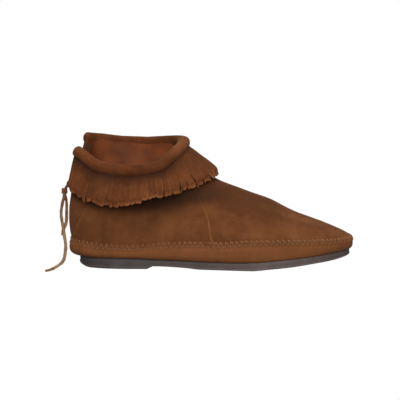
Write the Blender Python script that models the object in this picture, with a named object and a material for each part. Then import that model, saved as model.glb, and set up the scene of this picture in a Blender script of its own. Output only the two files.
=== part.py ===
"""Moccasin boot for the right foot: suede upper on a low rubber sole, rolled collar with a cut
fringe, and a zip in the heel with a leather thong tied in its slider.

Frame: origin in the middle of the heel's rest face, +X to the toe, +Y to the inner side of the
foot, +Z up. Lengths are metres. Tables hold shares of the named sizes that they follow."""

import bpy
import bmesh
import numpy as np
from functools import lru_cache
from math import acos, cos, degrees, pi, radians, sin
from mathutils import Matrix, Vector

# Driving sizes
LENGTH = 0.260             # back of the heel to the tip of the toe, over the suede
BALL_WIDTH = 0.090         # across the ball, over the moccasin band
COLLAR_HEIGHT = 0.1127     # floor to the middle of the rolled collar at the instep
HEEL_HEIGHT = 0.0095       # outsole under the heel
SOLE_THICKNESS = 0.0065    # outsole under the ball
TOE_SPRING = 0.0095        # floor to the underside of the outsole's tip
SOLE_CHAMFER = 0.0009      # lower edge of the outsole
FLOP = 0.0060              # how far the collar's outer end by the zip hangs back
INSOLE_THICKNESS = 0.003
WALL = 0.0022              # suede and lining of upper and band
LAP = 0.0006               # step of a lapped panel edge
ROLL_RADIUS = 0.0052       # outside of the rolled collar
ROLL_LEATHER = 0.0012      # leather that the roll is made of
FRINGE_LEATHER = 0.0012
FRINGE_LENGTH = 0.036      # below the roll's middle
FRINGE_PITCH = 0.0038      # one strip and its slit, along the collar
FRINGE_SLIT = 0.0004
SLOT_HALF = 0.0045         # half of the zip slot
TAPE_WIDTH = 0.0055        # zip tape that lies behind the upper
TAPE_THICKNESS = 0.0008
TEETH_WIDTH = 0.002        # one row of zip teeth
TEETH_THICKNESS = 0.0029
SLIDER_LENGTH = 0.010
SLIDER_WIDTH = 0.0075
SLIDER_PLATE = 0.0012
SLIDER_POST = 0.001        # width of the post between the teeth
POST_SHARE = 0.3           # length of the post, as a share of the slider's
BAIL_RADIUS = 0.0029       # middle of the slider's wire arch
BAIL_WIRE = 0.00065        # half of the wire's thickness
THONG = 0.0026             # diameter of the thong
KNOT = (0.0055, 0.0055, 0.0065)
GAP = 0.0003               # between pieces that touch

# Where the frame's origin lies, as a share of the length from the back of the heel
ORIGIN_SHARE = 0.1615

# Rise of the shaft above the outsole at the heel, which the height shares below follow
RISE = COLLAR_HEIGHT - HEEL_HEIGHT

# Last in side view: height, back of the heel, front of the vamp or shaft
PROFILE = (
    (0.121, 0.006, 1.001),
    (0.150, 0.005, 0.9975),
    (0.170, 0.005, 0.990),
    (0.199, 0.003, 0.972),
    (0.237, 0.001, 0.941),
    (0.281, -0.001, 0.899),
    (0.325, -0.002, 0.851),
    (0.373, -0.002, 0.800),
    (0.431, -0.001, 0.753),
    (0.489, 0.002, 0.708),
    (0.547, 0.005, 0.648),
    (0.606, 0.008, 0.586),
    (0.664, 0.013, 0.529),
    (0.732, 0.018, 0.482),
    (0.819, 0.025, 0.444),
    (0.916, 0.033, 0.416),
    (1.042, 0.042, 0.399),
    (1.100, 0.044, 0.397),
)

# Level outlines: height, four half widths on the outer side, four on the inner side at the
# places of WIDTH_PLACES, and the side distance of the toe's tip. Shares of the ball width.
WIDTHS = (
    (0.121, 0.328, 0.389, 0.506, 0.344, 0.328, 0.344, 0.478, 0.417, 0.089),
    (0.199, 0.328, 0.383, 0.478, 0.311, 0.326, 0.339, 0.450, 0.378, 0.078),
    (0.296, 0.317, 0.372, 0.422, 0.289, 0.317, 0.328, 0.394, 0.322, 0.061),
    (0.392, 0.306, 0.367, 0.378, 0.267, 0.306, 0.322, 0.350, 0.278, 0.044),
    (0.509, 0.289, 0.367, 0.333, 0.206, 0.283, 0.317, 0.300, 0.200, 0.033),
    (0.654, 0.267, 0.394, 0.333, 0.161, 0.250, 0.311, 0.278, 0.150, 0.022),
    (0.780, 0.250, 0.450, 0.389, 0.211, 0.239, 0.317, 0.289, 0.178, 0.011),
    (0.916, 0.239, 0.467, 0.411, 0.239, 0.228, 0.328, 0.306, 0.200, 0.0),
    (1.100, 0.233, 0.467, 0.417, 0.250, 0.222, 0.339, 0.317, 0.211, 0.0),
)
WIDTH_PLACES = (0.12, 0.38, 0.70, 0.90)

# Outline of the outsole: back, front, then the columns of WIDTHS
SOLE_OUTLINE = (0.035, 0.990, 0.294, 0.333, 0.467, 0.300, 0.294, 0.289, 0.439, 0.383, 0.089)

# Outsole along the foot: station, then for the top the share of the heel's extra height and of
# the toe spring, then for the underside the share of the heel height and of the toe spring
SOLE_LINE = (
    (0.000, 1.00, 0.000, 0.30, 0.000),
    (0.012, 1.00, 0.000, 0.15, 0.000),
    (0.040, 1.00, 0.000, 0.00, 0.000),
    (0.206, 0.96, 0.000, 0.00, 0.000),
    (0.248, 0.80, 0.000, 0.00, 0.000),
    (0.272, 0.68, 0.000, 0.26, 0.000),
    (0.388, 0.35, 0.000, 0.13, 0.000),
    (0.449, 0.18, 0.000, 0.00, 0.000),
    (0.574, 0.03, 0.015, 0.00, 0.000),
    (0.631, 0.00, 0.080, 0.00, 0.000),
    (0.691, 0.00, 0.210, 0.00, 0.147),
    (0.776, 0.00, 0.400, 0.00, 0.337),
    (0.849, 0.00, 0.570, 0.00, 0.547),
    (0.934, 0.00, 0.775, 0.00, 0.758),
    (0.978, 0.00, 0.840, 0.00, 0.916),
    (1.000, 0.00, 0.860, 0.00, 1.000),
)

# Stations along the foot that outsole, band and insole share; two of them are the heel's breast
STATIONS = (
    0.0, 0.012, 0.040, 0.080, 0.130, 0.206, 0.248, 0.272, 0.330, 0.388, 0.449, 0.510, 0.574,
    0.631, 0.691, 0.735, 0.776, 0.815, 0.849, 0.893, 0.934, 0.960, 0.978, 0.992, 1.0,
)

# Stitched seam between band and upper: place along the foot, height
SEAM = (
    (0.000, 0.134),
    (0.096, 0.108),
    (0.212, 0.097),
    (0.323, 0.118),
    (0.435, 0.135),
    (0.523, 0.133),
    (0.619, 0.154),
    (0.769, 0.160),
    (0.915, 0.151),
    (1.000, 0.146),
)

# Section of the band: rise from the sole to the seam, spread past the outsole's outline
BAND_SECTION = (
    (0.00, 0.00),
    (0.05, 0.45),
    (0.18, 0.78),
    (0.38, 0.97),
    (0.60, 1.00),
    (0.82, 0.93),
    (1.00, 0.80),
)

# Middle of the rolled collar: angle round the shaft in degrees, outer side, inner side
COLLAR_LINE = (
    (0, 0.965, 1.048),
    (15, 0.957, 1.044),
    (30, 0.915, 1.028),
    (54, 0.811, 1.008),
    (84, 0.780, 0.984),
    (109, 0.805, 0.982),
    (134, 0.896, 0.993),
    (150, 0.945, 0.998),
    (180, 1.000, 1.000),
)

# Fringe: angle, flare and drop of the tips on the outer side, then on the inner side
FRINGE_LINE = (
    (0, 0.28, 1.06, 0.30, 1.00),
    (35, 0.34, 0.96, 0.34, 0.97),
    (55, 0.44, 0.85, 0.36, 0.95),
    (80, 0.47, 0.82, 0.38, 0.93),
    (93, 0.47, 0.73, 0.38, 0.92),
    (105, 0.47, 0.66, 0.38, 0.92),
    (117, 0.49, 0.69, 0.41, 0.91),
    (134, 0.54, 0.81, 0.45, 0.90),
    (155, 0.72, 0.86, 0.64, 0.86),
    (180, 0.93, 0.75, 0.93, 0.75),
)

# Seam of the heel panel: height, angle from the heel's middle in degrees
HEEL_SEAM = ((0.130, 10.1), (0.450, 36.5), (0.683, 52.0), (1.000, 57.0))

# Seam of the quarter over the vamp: height, place along the last
SIDE_SEAM = (
    (0.130, 0.514),
    (0.170, 0.502),
    (0.234, 0.495),
    (0.351, 0.488),
    (0.432, 0.476),
    (0.541, 0.454),
    (0.605, 0.440),
    (0.700, 0.411),
    (0.830, 0.370),
    (1.050, 0.338),
)

# Columns of the upper from the heel's middle to the toe: at the slot's edge, before and after
# each panel seam, and at the toe
PANEL_COLUMNS = (0, 1, 4, 5, 14, 15, 25)
UPPER_HALF = PANEL_COLUMNS[-1]
UPPER_COLUMNS = 2 * UPPER_HALF
UPPER_ROWS = 17
SLOT_ROW = 2               # the zip slot starts above this row
ROW_CROWDING = 0.6         # how much closer the rows lie at the seam of the low toe
SEAM_STEP = 0.008          # angle across a lapped edge
LAP_COLUMNS = 3            # columns over which a lapped edge rises
LAP_FADE = (0.7, 0.2)      # share of the rows where the step starts to fade, and over how many
NUDGE = 0.004              # small step in angle or height share, for directions on the leather

# Zip: share of the rise where it parts, slider's middle, and the mouth's half widths at the rim
ZIP_PARTS = 0.545
SLIDER_SHARE = 0.625
MOUTH_OUTER = 0.012
MOUTH_INNER = 0.0125

# Flop of the collar's outer end: height share where it starts and the rise to its full reach,
# and the angles in degrees where it starts, is full, starts to fade and has gone
FLOP_HEIGHTS = (0.66, 0.28)
FLOP_ANGLES = (-9, 9, 18, 52)

# Thong, as it hangs from the knot and lies on the floor
KNOT_PLACE = (-0.0464, 0.0, 0.0660)
LOOP_ROUTE = (
    (-0.0457, -0.0016, 0.0694),
    (-0.0444, -0.0023, 0.0722),
    (-0.0428, -0.0024, 0.0738),
    (-0.0416, -0.0013, 0.0745),
    (-0.0413, 0.0, 0.0747),
    (-0.0416, 0.0013, 0.0745),
    (-0.0428, 0.0024, 0.0738),
    (-0.0444, 0.0023, 0.0722),
    (-0.0457, 0.0016, 0.0694),
)
LONG_ROUTE = (
    (-0.0468, -0.0015, 0.0621),
    (-0.0482, -0.0017, 0.0570),
    (-0.0495, -0.0021, 0.0486),
    (-0.0489, -0.0030, 0.0420),
    (-0.0477, -0.0045, 0.0352),
    (-0.0463, -0.0070, 0.0275),
    (-0.0447, -0.0120, 0.0195),
    (-0.0447, -0.0195, 0.0123),
    (-0.0460, -0.0270, 0.0070),
    (-0.0508, -0.0350, 0.0035),
    (-0.0555, -0.0410, 0.0018),
    (-0.0591, -0.0460, 0.0014),
)
SHORT_ROUTE = (
    (-0.0456, 0.0015, 0.0621),
    (-0.0448, 0.0021, 0.0570),
    (-0.0450, 0.0030, 0.0460),
    (-0.0454, 0.0030, 0.0390),
    (-0.0468, 0.0026, 0.0349),
    (-0.0481, 0.0020, 0.0314),
    (-0.0486, 0.0015, 0.0267),
)

MERGE = 1e-6               # points of a grid that meet at its seam


def smooth_table(rows):
    """Curve through a table's rows by its first column, monotone between them."""
    table = np.array(rows, dtype=float)
    places = table[:, 0]
    values = table[:, 1:]
    step = np.diff(places)[:, None]
    slope = np.diff(values, axis=0) / step
    tangent = np.zeros_like(values)
    tangent[0] = slope[0]
    tangent[-1] = slope[-1]
    before = slope[:-1]
    after = slope[1:]
    rising = before * after > 0
    weight_a = 2 * step[1:] + step[:-1]
    weight_b = step[1:] + 2 * step[:-1]
    safe_before = np.where(rising, before, 1.0)
    safe_after = np.where(rising, after, 1.0)
    mean = (weight_a + weight_b) / (weight_a / safe_before + weight_b / safe_after)
    tangent[1:-1] = np.where(rising, mean, 0.0)

    def value(place):
        place = min(max(place, places[0]), places[-1])
        i = min(int(np.searchsorted(places, place, side="right")) - 1, len(places) - 2)
        width = step[i, 0]
        t = (place - places[i]) / width
        near = values[i] * (1 + 2 * t) * (1 - t) ** 2 + tangent[i] * width * t * (1 - t) ** 2
        far = values[i + 1] * t * t * (3 - 2 * t) - tangent[i + 1] * width * t * t * (1 - t)
        return near + far

    return value


profile_at = smooth_table(PROFILE)
widths_at = smooth_table(WIDTHS)
sole_line_at = smooth_table(SOLE_LINE)
seam_at = smooth_table(SEAM)
collar_line_at = smooth_table(COLLAR_LINE)
fringe_line_at = smooth_table(FRINGE_LINE)
heel_seam_at = smooth_table(HEEL_SEAM)
side_seam_at = smooth_table(SIDE_SEAM)

# Angles round an outline at which its half widths are given
SIDE_ANGLES = [acos(1 - 2 * place) for place in WIDTH_PLACES]
KNOTS = np.array([0.0] + SIDE_ANGLES + [pi] + [2 * pi - a for a in reversed(SIDE_ANGLES)])


def closed_spline_matrix():
    """Second derivatives of the closed cubic spline through KNOTS, for unit values."""
    count = len(KNOTS)
    span = np.diff(np.append(KNOTS, 2 * pi))
    left = np.zeros((count, count))
    right = np.zeros((count, count))
    for i in range(count):
        before = span[i - 1]
        after = span[i]
        following = (i + 1) % count
        left[i, i - 1] += before / 6
        left[i, i] += (before + after) / 3
        left[i, following] += after / 6
        right[i, i - 1] += 1 / before
        right[i, i] -= 1 / before + 1 / after
        right[i, following] += 1 / after
    return np.linalg.solve(left, right), span


SPLINE, SPANS = closed_spline_matrix()


def ring_value(values, angle):
    """Closed smooth curve through values given at KNOTS."""
    angle = angle % (2 * pi)
    bend = SPLINE @ values
    i = int(np.searchsorted(KNOTS, angle, side="right")) - 1
    j = (i + 1) % len(KNOTS)
    width = SPANS[i]
    a = (KNOTS[i] + width - angle) / width
    b = 1 - a
    curve = (a ** 3 - a) * bend[i] + (b ** 3 - b) * bend[j]
    return a * values[i] + b * values[j] + curve * width * width / 6


def outline_point(back, front, widths, angle):
    """Point of a level outline; the angle runs from the heel by the outer side to the toe."""
    outer = widths[0:4]
    inner = widths[4:8]
    ring = np.array([0.0, *[-w for w in outer], widths[8], *reversed(inner)])
    x = back + (front - back) * (1 - cos(angle)) / 2
    return Vector((x, ring_value(ring, angle), 0))


def ease(share):
    """Smooth step from 0 to 1."""
    share = min(max(share, 0.0), 1.0)
    return share * share * (3 - 2 * share)


def place_along(angle):
    """Share of the foot's length at an angle of the outline."""
    return (1 - cos(angle)) / 2


def flop_share(height, angle):
    """Share of the flop at a point: full at the collar beside the zip, on the outer side."""
    turn = degrees((angle + pi) % (2 * pi) - pi)
    rise, span = FLOP_HEIGHTS
    start, full, leave, end = FLOP_ANGLES
    across = ease((turn - start) / (full - start)) * (1 - ease((turn - leave) / (end - leave)))
    return across * ease((height - rise) / span)


@lru_cache(maxsize=None)
def last_point(height, angle):
    """Point on the outer face of the shaft and vamp."""
    back, front = profile_at(height) - ORIGIN_SHARE
    point = outline_point(back * LENGTH, front * LENGTH, widths_at(height) * BALL_WIDTH, angle)
    point.x -= FLOP * flop_share(height, angle)
    point.z = HEEL_HEIGHT + height * RISE
    return point


def level_outward(height, angle):
    """Level direction that points out of the outline."""
    along = last_point(height, angle + NUDGE) - last_point(height, angle - NUDGE)
    return Vector((along.y, -along.x, 0)).normalized()


def surface_outward(height, angle):
    """Direction that points straight out of the leather."""
    along = last_point(height, angle + NUDGE) - last_point(height, angle - NUDGE)
    up = last_point(height + NUDGE, angle) - last_point(height - NUDGE, angle)
    return along.cross(up).normalized()


def moved_grid(columns, rows, place, keep=None):
    """Flat grid with its points moved by place(column, row), less the cells keep turns down."""
    bm = bmesh.new()
    bmesh.ops.create_grid(bm, x_segments=columns, y_segments=rows, size=1.0)
    column_of = bm.verts.layers.int.new("column")
    row_of = bm.verts.layers.int.new("row")
    for vert in bm.verts:
        vert[column_of] = round((vert.co.x + 1) / 2 * columns)
        vert[row_of] = round((vert.co.y + 1) / 2 * rows)
    if keep:
        dropped = []
        for face in bm.faces:
            column = min(vert[column_of] for vert in face.verts)
            row = min(vert[row_of] for vert in face.verts)
            if not keep(column, row):
                dropped.append(face)
        bmesh.ops.delete(bm, geom=dropped, context="FACES")
    for vert in bm.verts:
        vert.co = place(vert[column_of], vert[row_of])
    bmesh.ops.remove_doubles(bm, verts=bm.verts[:], dist=MERGE)
    return bm


def walled_grid(columns, rows, outer, inner, keep=None):
    """Sheet with a wall: its second side is drawn out of the first and moved by inner."""
    bm = moved_grid(columns, rows, outer, keep)
    column_of = bm.verts.layers.int["column"]
    row_of = bm.verts.layers.int["row"]
    drawn = bmesh.ops.extrude_face_region(bm, geom=bm.faces[:], use_keep_orig=True)
    for item in drawn["geom"]:
        if isinstance(item, bmesh.types.BMVert):
            item.co = inner(item[column_of], item[row_of])
    return bm


def finish(name, bm, material, parts, sharp=40):
    """Turn a closed bmesh into a named object with its material."""
    bmesh.ops.recalc_face_normals(bm, faces=bm.faces[:])
    if bm.calc_volume(signed=True) < 0:
        bmesh.ops.reverse_faces(bm, faces=bm.faces[:])
    mesh = bpy.data.meshes.new(name)
    bm.to_mesh(mesh)
    bm.free()
    mesh.shade_smooth()
    mesh.set_sharp_from_angle(angle=radians(sharp))
    mesh.materials.append(material)
    piece = bpy.data.objects.new(name, mesh)
    parts.objects.link(piece)
    return piece


def make_material(name, colour, roughness, metallic=0.0):
    """Plain Principled material."""
    material = bpy.data.materials.new(name)
    material.use_nodes = True
    shader = material.node_tree.nodes["Principled BSDF"]
    shader.inputs["Base Color"].default_value = (*colour, 1)
    shader.inputs["Roughness"].default_value = roughness
    shader.inputs["Metallic"].default_value = metallic
    material.diffuse_color = (*colour, 1)
    return material


def sole_level(station, top):
    """Height of the outsole's top or underside at a station."""
    heel_top, spring_top, heel_under, spring_under = sole_line_at(station)
    if top:
        return SOLE_THICKNESS + (HEEL_HEIGHT - SOLE_THICKNESS) * heel_top + TOE_SPRING * spring_top
    return HEEL_HEIGHT * heel_under + TOE_SPRING * spring_under


def station_angle(column):
    """Angle of a column of the sole: out along the outer side, back along the inner side."""
    last = len(STATIONS) - 1
    station = min(STATIONS[min(column, 2 * last - column)], 1.0)
    angle = acos(1 - 2 * station)
    return angle if column <= last else 2 * pi - angle


def sole_point(column, inset, across):
    """Point of the sole's outline moved in by inset; across 0 lies on the middle line."""
    back, front, *widths = SOLE_OUTLINE
    back = (back - ORIGIN_SHARE) * LENGTH + inset
    front = (front - ORIGIN_SHARE) * LENGTH - inset
    ring = [w * BALL_WIDTH - inset for w in widths[:8]] + [widths[8] * BALL_WIDTH]
    angle = station_angle(column)
    point = outline_point(back, front, ring, angle)
    other = outline_point(back, front, ring, -angle)
    middle = (point.y + other.y) / 2
    point.y = middle + (point.y - middle) * across
    return point


def level_solid(name, rows, material, parts):
    """Closed solid from rows of (inset, across, height function) between two middle lines."""
    def place(column, row):
        inset, across, height = rows[row]
        point = sole_point(column, inset, across)
        last = len(STATIONS) - 1
        station = STATIONS[min(column, 2 * last - column)]
        point.z = height(station)
        return point

    bm = moved_grid(2 * (len(STATIONS) - 1), len(rows) - 1, place)
    return finish(name, bm, material, parts)


# Share of the way from the middle line to the edge where the sole's faces have a further row
MID_ROW = 0.55


def build_outsole(material, parts):
    """Heel and forepart in one moulded unit."""
    def under(station):
        return sole_level(station, top=False)

    def edge(station):
        return under(station) + SOLE_CHAMFER

    def top(station):
        return sole_level(station, top=True)

    rows = (
        (SOLE_CHAMFER, 0.0, under),
        (SOLE_CHAMFER, MID_ROW, under),
        (SOLE_CHAMFER, 1.0, under),
        (0.0, 1.0, edge),
        (0.0, 1.0, top),
        (0.0, MID_ROW, top),
        (0.0, 0.0, top),
    )
    level_solid("outsole", rows, material, parts)


def build_insole(material, parts):
    """Board and sock that lie in the band."""
    inset = WALL + 2 * GAP

    def under(station):
        return sole_level(station, top=True) + WALL + 2 * GAP

    def top(station):
        return under(station) + INSOLE_THICKNESS

    rows = (
        (inset, 0.0, under),
        (inset, MID_ROW, under),
        (inset, 1.0, under),
        (inset, 1.0, top),
        (inset, MID_ROW, top),
        (inset, 0.0, top),
    )
    level_solid("insole", rows, material, parts)


def seam_point(angle, inset):
    """Point of the stitched seam, moved in level by inset."""
    height = float(seam_at(place_along(angle))[0])
    back, front = (profile_at(height) - ORIGIN_SHARE) * LENGTH
    widths = widths_at(height) * BALL_WIDTH
    widths[:8] -= inset
    point = outline_point(back + inset, front - inset, widths, angle)
    point.z = HEEL_HEIGHT + height * RISE
    return point


def build_band(material, parts):
    """Lower band: under the foot, round the sole's edge and up to the stitched seam."""
    under_rows = ((0.0, 0.0), (0.0, MID_ROW))
    last = len(STATIONS) - 1
    seam_spread = BAND_SECTION[-1][1]

    def band_point(column, row, inset):
        station = STATIONS[min(column, 2 * last - column)]
        floor = sole_level(station, top=True) + GAP
        if row < len(under_rows):
            point = sole_point(column, inset, under_rows[row][1])
            point.z = floor + inset
            return point
        rise, spread = BAND_SECTION[row - len(under_rows)]
        edge = sole_point(column, inset, 1.0)
        seam = seam_point(station_angle(column), inset)
        point = edge.lerp(seam, spread / seam_spread)
        point.z = max(floor + inset, floor + (seam.z - GAP / 2 - floor) * rise)
        return point

    def outer(column, row):
        return band_point(column, row, 0.0)

    def inner(column, row):
        return band_point(column, row, WALL)

    rows = len(under_rows) + len(BAND_SECTION) - 1
    bm = walled_grid(2 * last, rows, outer, inner)
    finish("moccasin_tray", bm, material, parts)


def mouth_half(height, outer_side):
    """Side distance of the slot's edge from the heel's middle."""
    mouth = MOUTH_OUTER if outer_side else MOUTH_INNER
    rim = float(collar_line_at(0)[0 if outer_side else 1])
    share = min(max((height - ZIP_PARTS) / (rim - ZIP_PARTS), 0.0), 1.0)
    return SLOT_HALF + (mouth - SLOT_HALF) * share


# Angle either side of the heel's middle in which the slot and the zip lie
HEEL_REACH = 0.9


@lru_cache(maxsize=None)
def heel_sides(height):
    """Angles near the heel's middle and the side distances there, rising."""
    angles = np.linspace(HEEL_REACH, -HEEL_REACH, 73)
    return angles, np.array([last_point(height, float(a)).y for a in angles])


def heel_angle(height, side):
    """Angle at which the outline has this side distance near the heel."""
    angles, sides = heel_sides(height)
    return float(np.interp(side, sides, angles))


@lru_cache(maxsize=None)
def panel_marks(height, outer_side):
    """Angles of slot edge and panel seams, measured from the heel's middle."""
    half = mouth_half(height, outer_side)
    slot = abs(heel_angle(height, -half if outer_side else half))
    heel = radians(float(heel_seam_at(height)[0]))
    back, front = profile_at(height)
    side = acos(1 - 2 * (float(side_seam_at(height)[0]) - back) / (front - back))
    heel = max(heel, slot + 2 * SEAM_STEP)
    return (0.0, slot, heel - SEAM_STEP, heel + SEAM_STEP, side - SEAM_STEP, side + SEAM_STEP, pi)


def column_angle(column, height):
    """Angle of a column of the upper at a height."""
    outer_side = column <= UPPER_HALF
    place = column if outer_side else UPPER_COLUMNS - column
    angle = float(np.interp(place, PANEL_COLUMNS, panel_marks(height, outer_side)))
    return angle if outer_side else 2 * pi - angle


def collar_height(angle):
    """Height share of the rolled collar's middle."""
    turn = degrees(angle % (2 * pi))
    outer, inner = collar_line_at(min(turn, 360 - turn))
    return float(outer if turn <= 180 else inner)


# How far the shaft's top edge reaches up inside the roll
TUCK = 0.0005


@lru_cache(maxsize=None)
def upper_height(column, row):
    """Height share of a point of the upper."""
    bottom_angle = column_angle(column, SEAM[0][1])
    bottom = float(seam_at(place_along(bottom_angle))[0]) + GAP / 2 / RISE
    top = collar_height(column_angle(column, 1.0)) + TUCK / RISE
    crowding = 1 + ROW_CROWDING * ease(place_along(bottom_angle))
    return bottom + (top - bottom) * (row / UPPER_ROWS) ** crowding


def lap_height(column, row):
    """Step of the heel panel over the quarter and of the quarter over the vamp."""
    place = min(column, UPPER_COLUMNS - column)
    heel_edge = PANEL_COLUMNS[2]
    side_edge = PANEL_COLUMNS[4]
    fade = 1 - ease((row / UPPER_ROWS - LAP_FADE[0]) / LAP_FADE[1])
    if place <= heel_edge:
        return LAP * fade * ease((place - heel_edge + LAP_COLUMNS) / LAP_COLUMNS)
    if place <= side_edge:
        return LAP * fade * ease((place - side_edge + LAP_COLUMNS) / LAP_COLUMNS)
    return 0.0


def build_upper(material, parts):
    """Vamp, quarters and heel panels as one wall, open at collar, zip slot and sole."""
    def outer(column, row):
        height = upper_height(column, row)
        angle = column_angle(column, height)
        return last_point(height, angle) + surface_outward(height, angle) * lap_height(column, row)

    def inner(column, row):
        height = upper_height(column, row)
        angle = column_angle(column, height)
        level = level_outward(height, angle)
        straight = surface_outward(height, angle)
        inward = -level.lerp(straight, min(row / 2, 1.0)).normalized()
        point = last_point(height, angle) + inward * WALL
        lowest = last_point(upper_height(column, 0), angle).z
        point.z = max(point.z, lowest)
        return point

    def keep(column, row):
        at_slot = column == 0 or column == UPPER_COLUMNS - 1
        return not (at_slot and row >= SLOT_ROW)

    bm = walled_grid(UPPER_COLUMNS, UPPER_ROWS, outer, inner, keep)
    finish("upper", bm, material, parts)


# Distance of the roll's middle outside the shaft's face, and the span of its hooked section
ROLL_OFFSET = 0.0003
ROLL_START = 188
ROLL_END = -35
ROLL_ROWS = 8


def collar_point(angle):
    """Middle of the rolled collar at an angle round the shaft."""
    height = collar_height(angle)
    return last_point(height, angle) + level_outward(height, angle) * ROLL_OFFSET


def collar_frame(angle):
    """Middle of the roll, outward direction and the upward one square to the roll."""
    along = (collar_point(angle + NUDGE) - collar_point(angle - NUDGE)).normalized()
    outward = level_outward(collar_height(angle), angle)
    upward = outward.cross(along).normalized()
    if upward.z < 0:
        upward.negate()
    return collar_point(angle), outward, upward


def collar_ends():
    """Angles at which roll and fringe end, at the two sides of the zip's mouth."""
    outer = collar_line_at(0)[0]
    inner = collar_line_at(0)[1]
    first = heel_angle(float(outer), -MOUTH_OUTER)
    last = 2 * pi + heel_angle(float(inner), MOUTH_INNER)
    return first, last


def build_roll(material, parts):
    """Leather hooked over the shaft's top edge."""
    columns = UPPER_COLUMNS - 2
    first, last = collar_ends()

    def section(column, row, radius):
        middle, outward, upward = collar_frame(first + (last - first) * column / columns)
        turn = radians(ROLL_START + (ROLL_END - ROLL_START) * row / ROLL_ROWS)
        return middle + outward * radius * cos(turn) + upward * radius * sin(turn)

    def outer(column, row):
        return section(column, row, ROLL_RADIUS)

    def inner(column, row):
        return section(column, row, ROLL_RADIUS - ROLL_LEATHER)

    bm = walled_grid(columns, ROLL_ROWS, outer, inner)
    finish("rolled_collar", bm, material, parts)


# Fringe rows: three along the shaft and through the hem, then the strips
FRINGE_TOP = 0.0008        # above the roll's middle
FRINGE_LEAVES = -0.0021    # below the roll's middle, where it swings out
HEM_SHARE = 0.28           # uncut share of the fall
FRINGE_BEND = (0.5, 0.45)  # level and upright shares of the fall at its bend
RAGGED = (0.025, 2.4)      # share by which the strips' lengths vary, and the wave's turn a strip
STRIP_ROWS = 3
FRINGE_ROWS = 2 + STRIP_ROWS


def fringe_path(angle, share, length):
    """Middle of the leather from where it leaves the shaft to a tip, and its slope outwards."""
    height = collar_height(angle)
    outward = level_outward(height, angle)
    clear = 1.5 * GAP + FRINGE_LEATHER / 2
    start = last_point(height + FRINGE_LEAVES / RISE, angle) + outward * clear
    turn = degrees(angle % (2 * pi))
    line = fringe_line_at(min(turn, 360 - turn))
    flare, drop = line[0:2] if turn <= 180 else line[2:4]
    middle = collar_point(angle)
    tip = middle + outward * flare * FRINGE_LENGTH - Vector((0, 0, drop * FRINGE_LENGTH))
    tip = start.lerp(tip, length)
    reach = tip - start
    level, upright = FRINGE_BEND
    bend = start + Vector((reach.x * level, reach.y * level, reach.z * upright))
    point = start.lerp(bend, share).lerp(bend.lerp(tip, share), share)
    along = ((bend - start) * (1 - share) + (tip - bend) * share).normalized()
    side = outward.cross(Vector((0, 0, 1)))
    return point, side.cross(along).normalized() * -1


def build_fringe(material, parts):
    """Band tucked under the roll and cut into strips."""
    first, last = collar_ends()
    samples = np.linspace(first, last, 241)
    points = [collar_point(float(a)) for a in samples]
    steps = [(b - a).length for a, b in zip(points, points[1:])]
    travel = np.concatenate(([0.0], np.cumsum(steps)))
    strips = round(travel[-1] / FRINGE_PITCH)
    pitch = (travel[-1] + FRINGE_SLIT) / strips

    def strip_angle(column):
        place = (column // 2) * pitch
        if column % 2:
            place += pitch - FRINGE_SLIT
        return float(np.interp(place, travel, samples))

    def side_point(column, row, side):
        angle = strip_angle(column)
        if row == 0:
            height = collar_height(angle)
            outward = level_outward(height, angle)
            clear = 1.5 * GAP + FRINGE_LEATHER * (0.5 + side / 2)
            return last_point(height + FRINGE_TOP / RISE, angle) + outward * clear
        ragged = 1 - RAGGED[0] * (1 + sin(RAGGED[1] * (column // 2)))
        share = HEM_SHARE * (row - 1)
        if row > 2:
            share = HEM_SHARE + (1 - HEM_SHARE) * (row - 2) / STRIP_ROWS
        point, outward = fringe_path(angle, share, ragged)
        return point + outward * side * FRINGE_LEATHER / 2

    def keep(column, row):
        return column % 2 == 0 or row < 2

    def outer(column, row):
        return side_point(column, row, 1)

    def inner(column, row):
        return side_point(column, row, -1)

    bm = walled_grid(2 * strips - 1, FRINGE_ROWS, outer, inner, keep)
    finish("fringe_band", bm, material, parts, sharp=60)


# Zip tape: how far its top stays below the roll's middle and its foot above the slot's bottom
TAPE_TOP_DROP = 0.0075
TAPE_ROWS = 10
TAPE_FACE = 0.0005         # further clearance for the facets of the curved heel


def build_tape(name, outer_side, material, parts):
    """One half of the zip: a tape behind the upper with its row of teeth in the slot."""
    teeth = SLOT_HALF - GAP / 2
    spans = (teeth, teeth - TEETH_WIDTH, teeth - TEETH_WIDTH - GAP, 0.0, -TAPE_WIDTH)
    teeth_face = WALL / 2
    tape_face = WALL + GAP + TAPE_FACE
    sign = -1 if outer_side else 1
    low = upper_height(0, SLOT_ROW) + 2 * GAP / RISE
    high = float(collar_line_at(0)[0 if outer_side else 1]) - TAPE_TOP_DROP / RISE

    def depth_point(column, row, far_face):
        height = low + (high - low) * row / TAPE_ROWS
        side = sign * (mouth_half(height, outer_side) - spans[column])
        angle = heel_angle(height, side)
        depth = teeth_face if column < 2 else tape_face
        if far_face:
            depth += TEETH_THICKNESS if column < 2 else TAPE_THICKNESS
        return last_point(height, angle) - surface_outward(height, angle) * depth

    def outer(column, row):
        return depth_point(column, row, False)

    def inner(column, row):
        return depth_point(column, row, True)

    bm = walled_grid(len(spans) - 1, TAPE_ROWS, outer, inner)
    finish(name, bm, material, parts)


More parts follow.
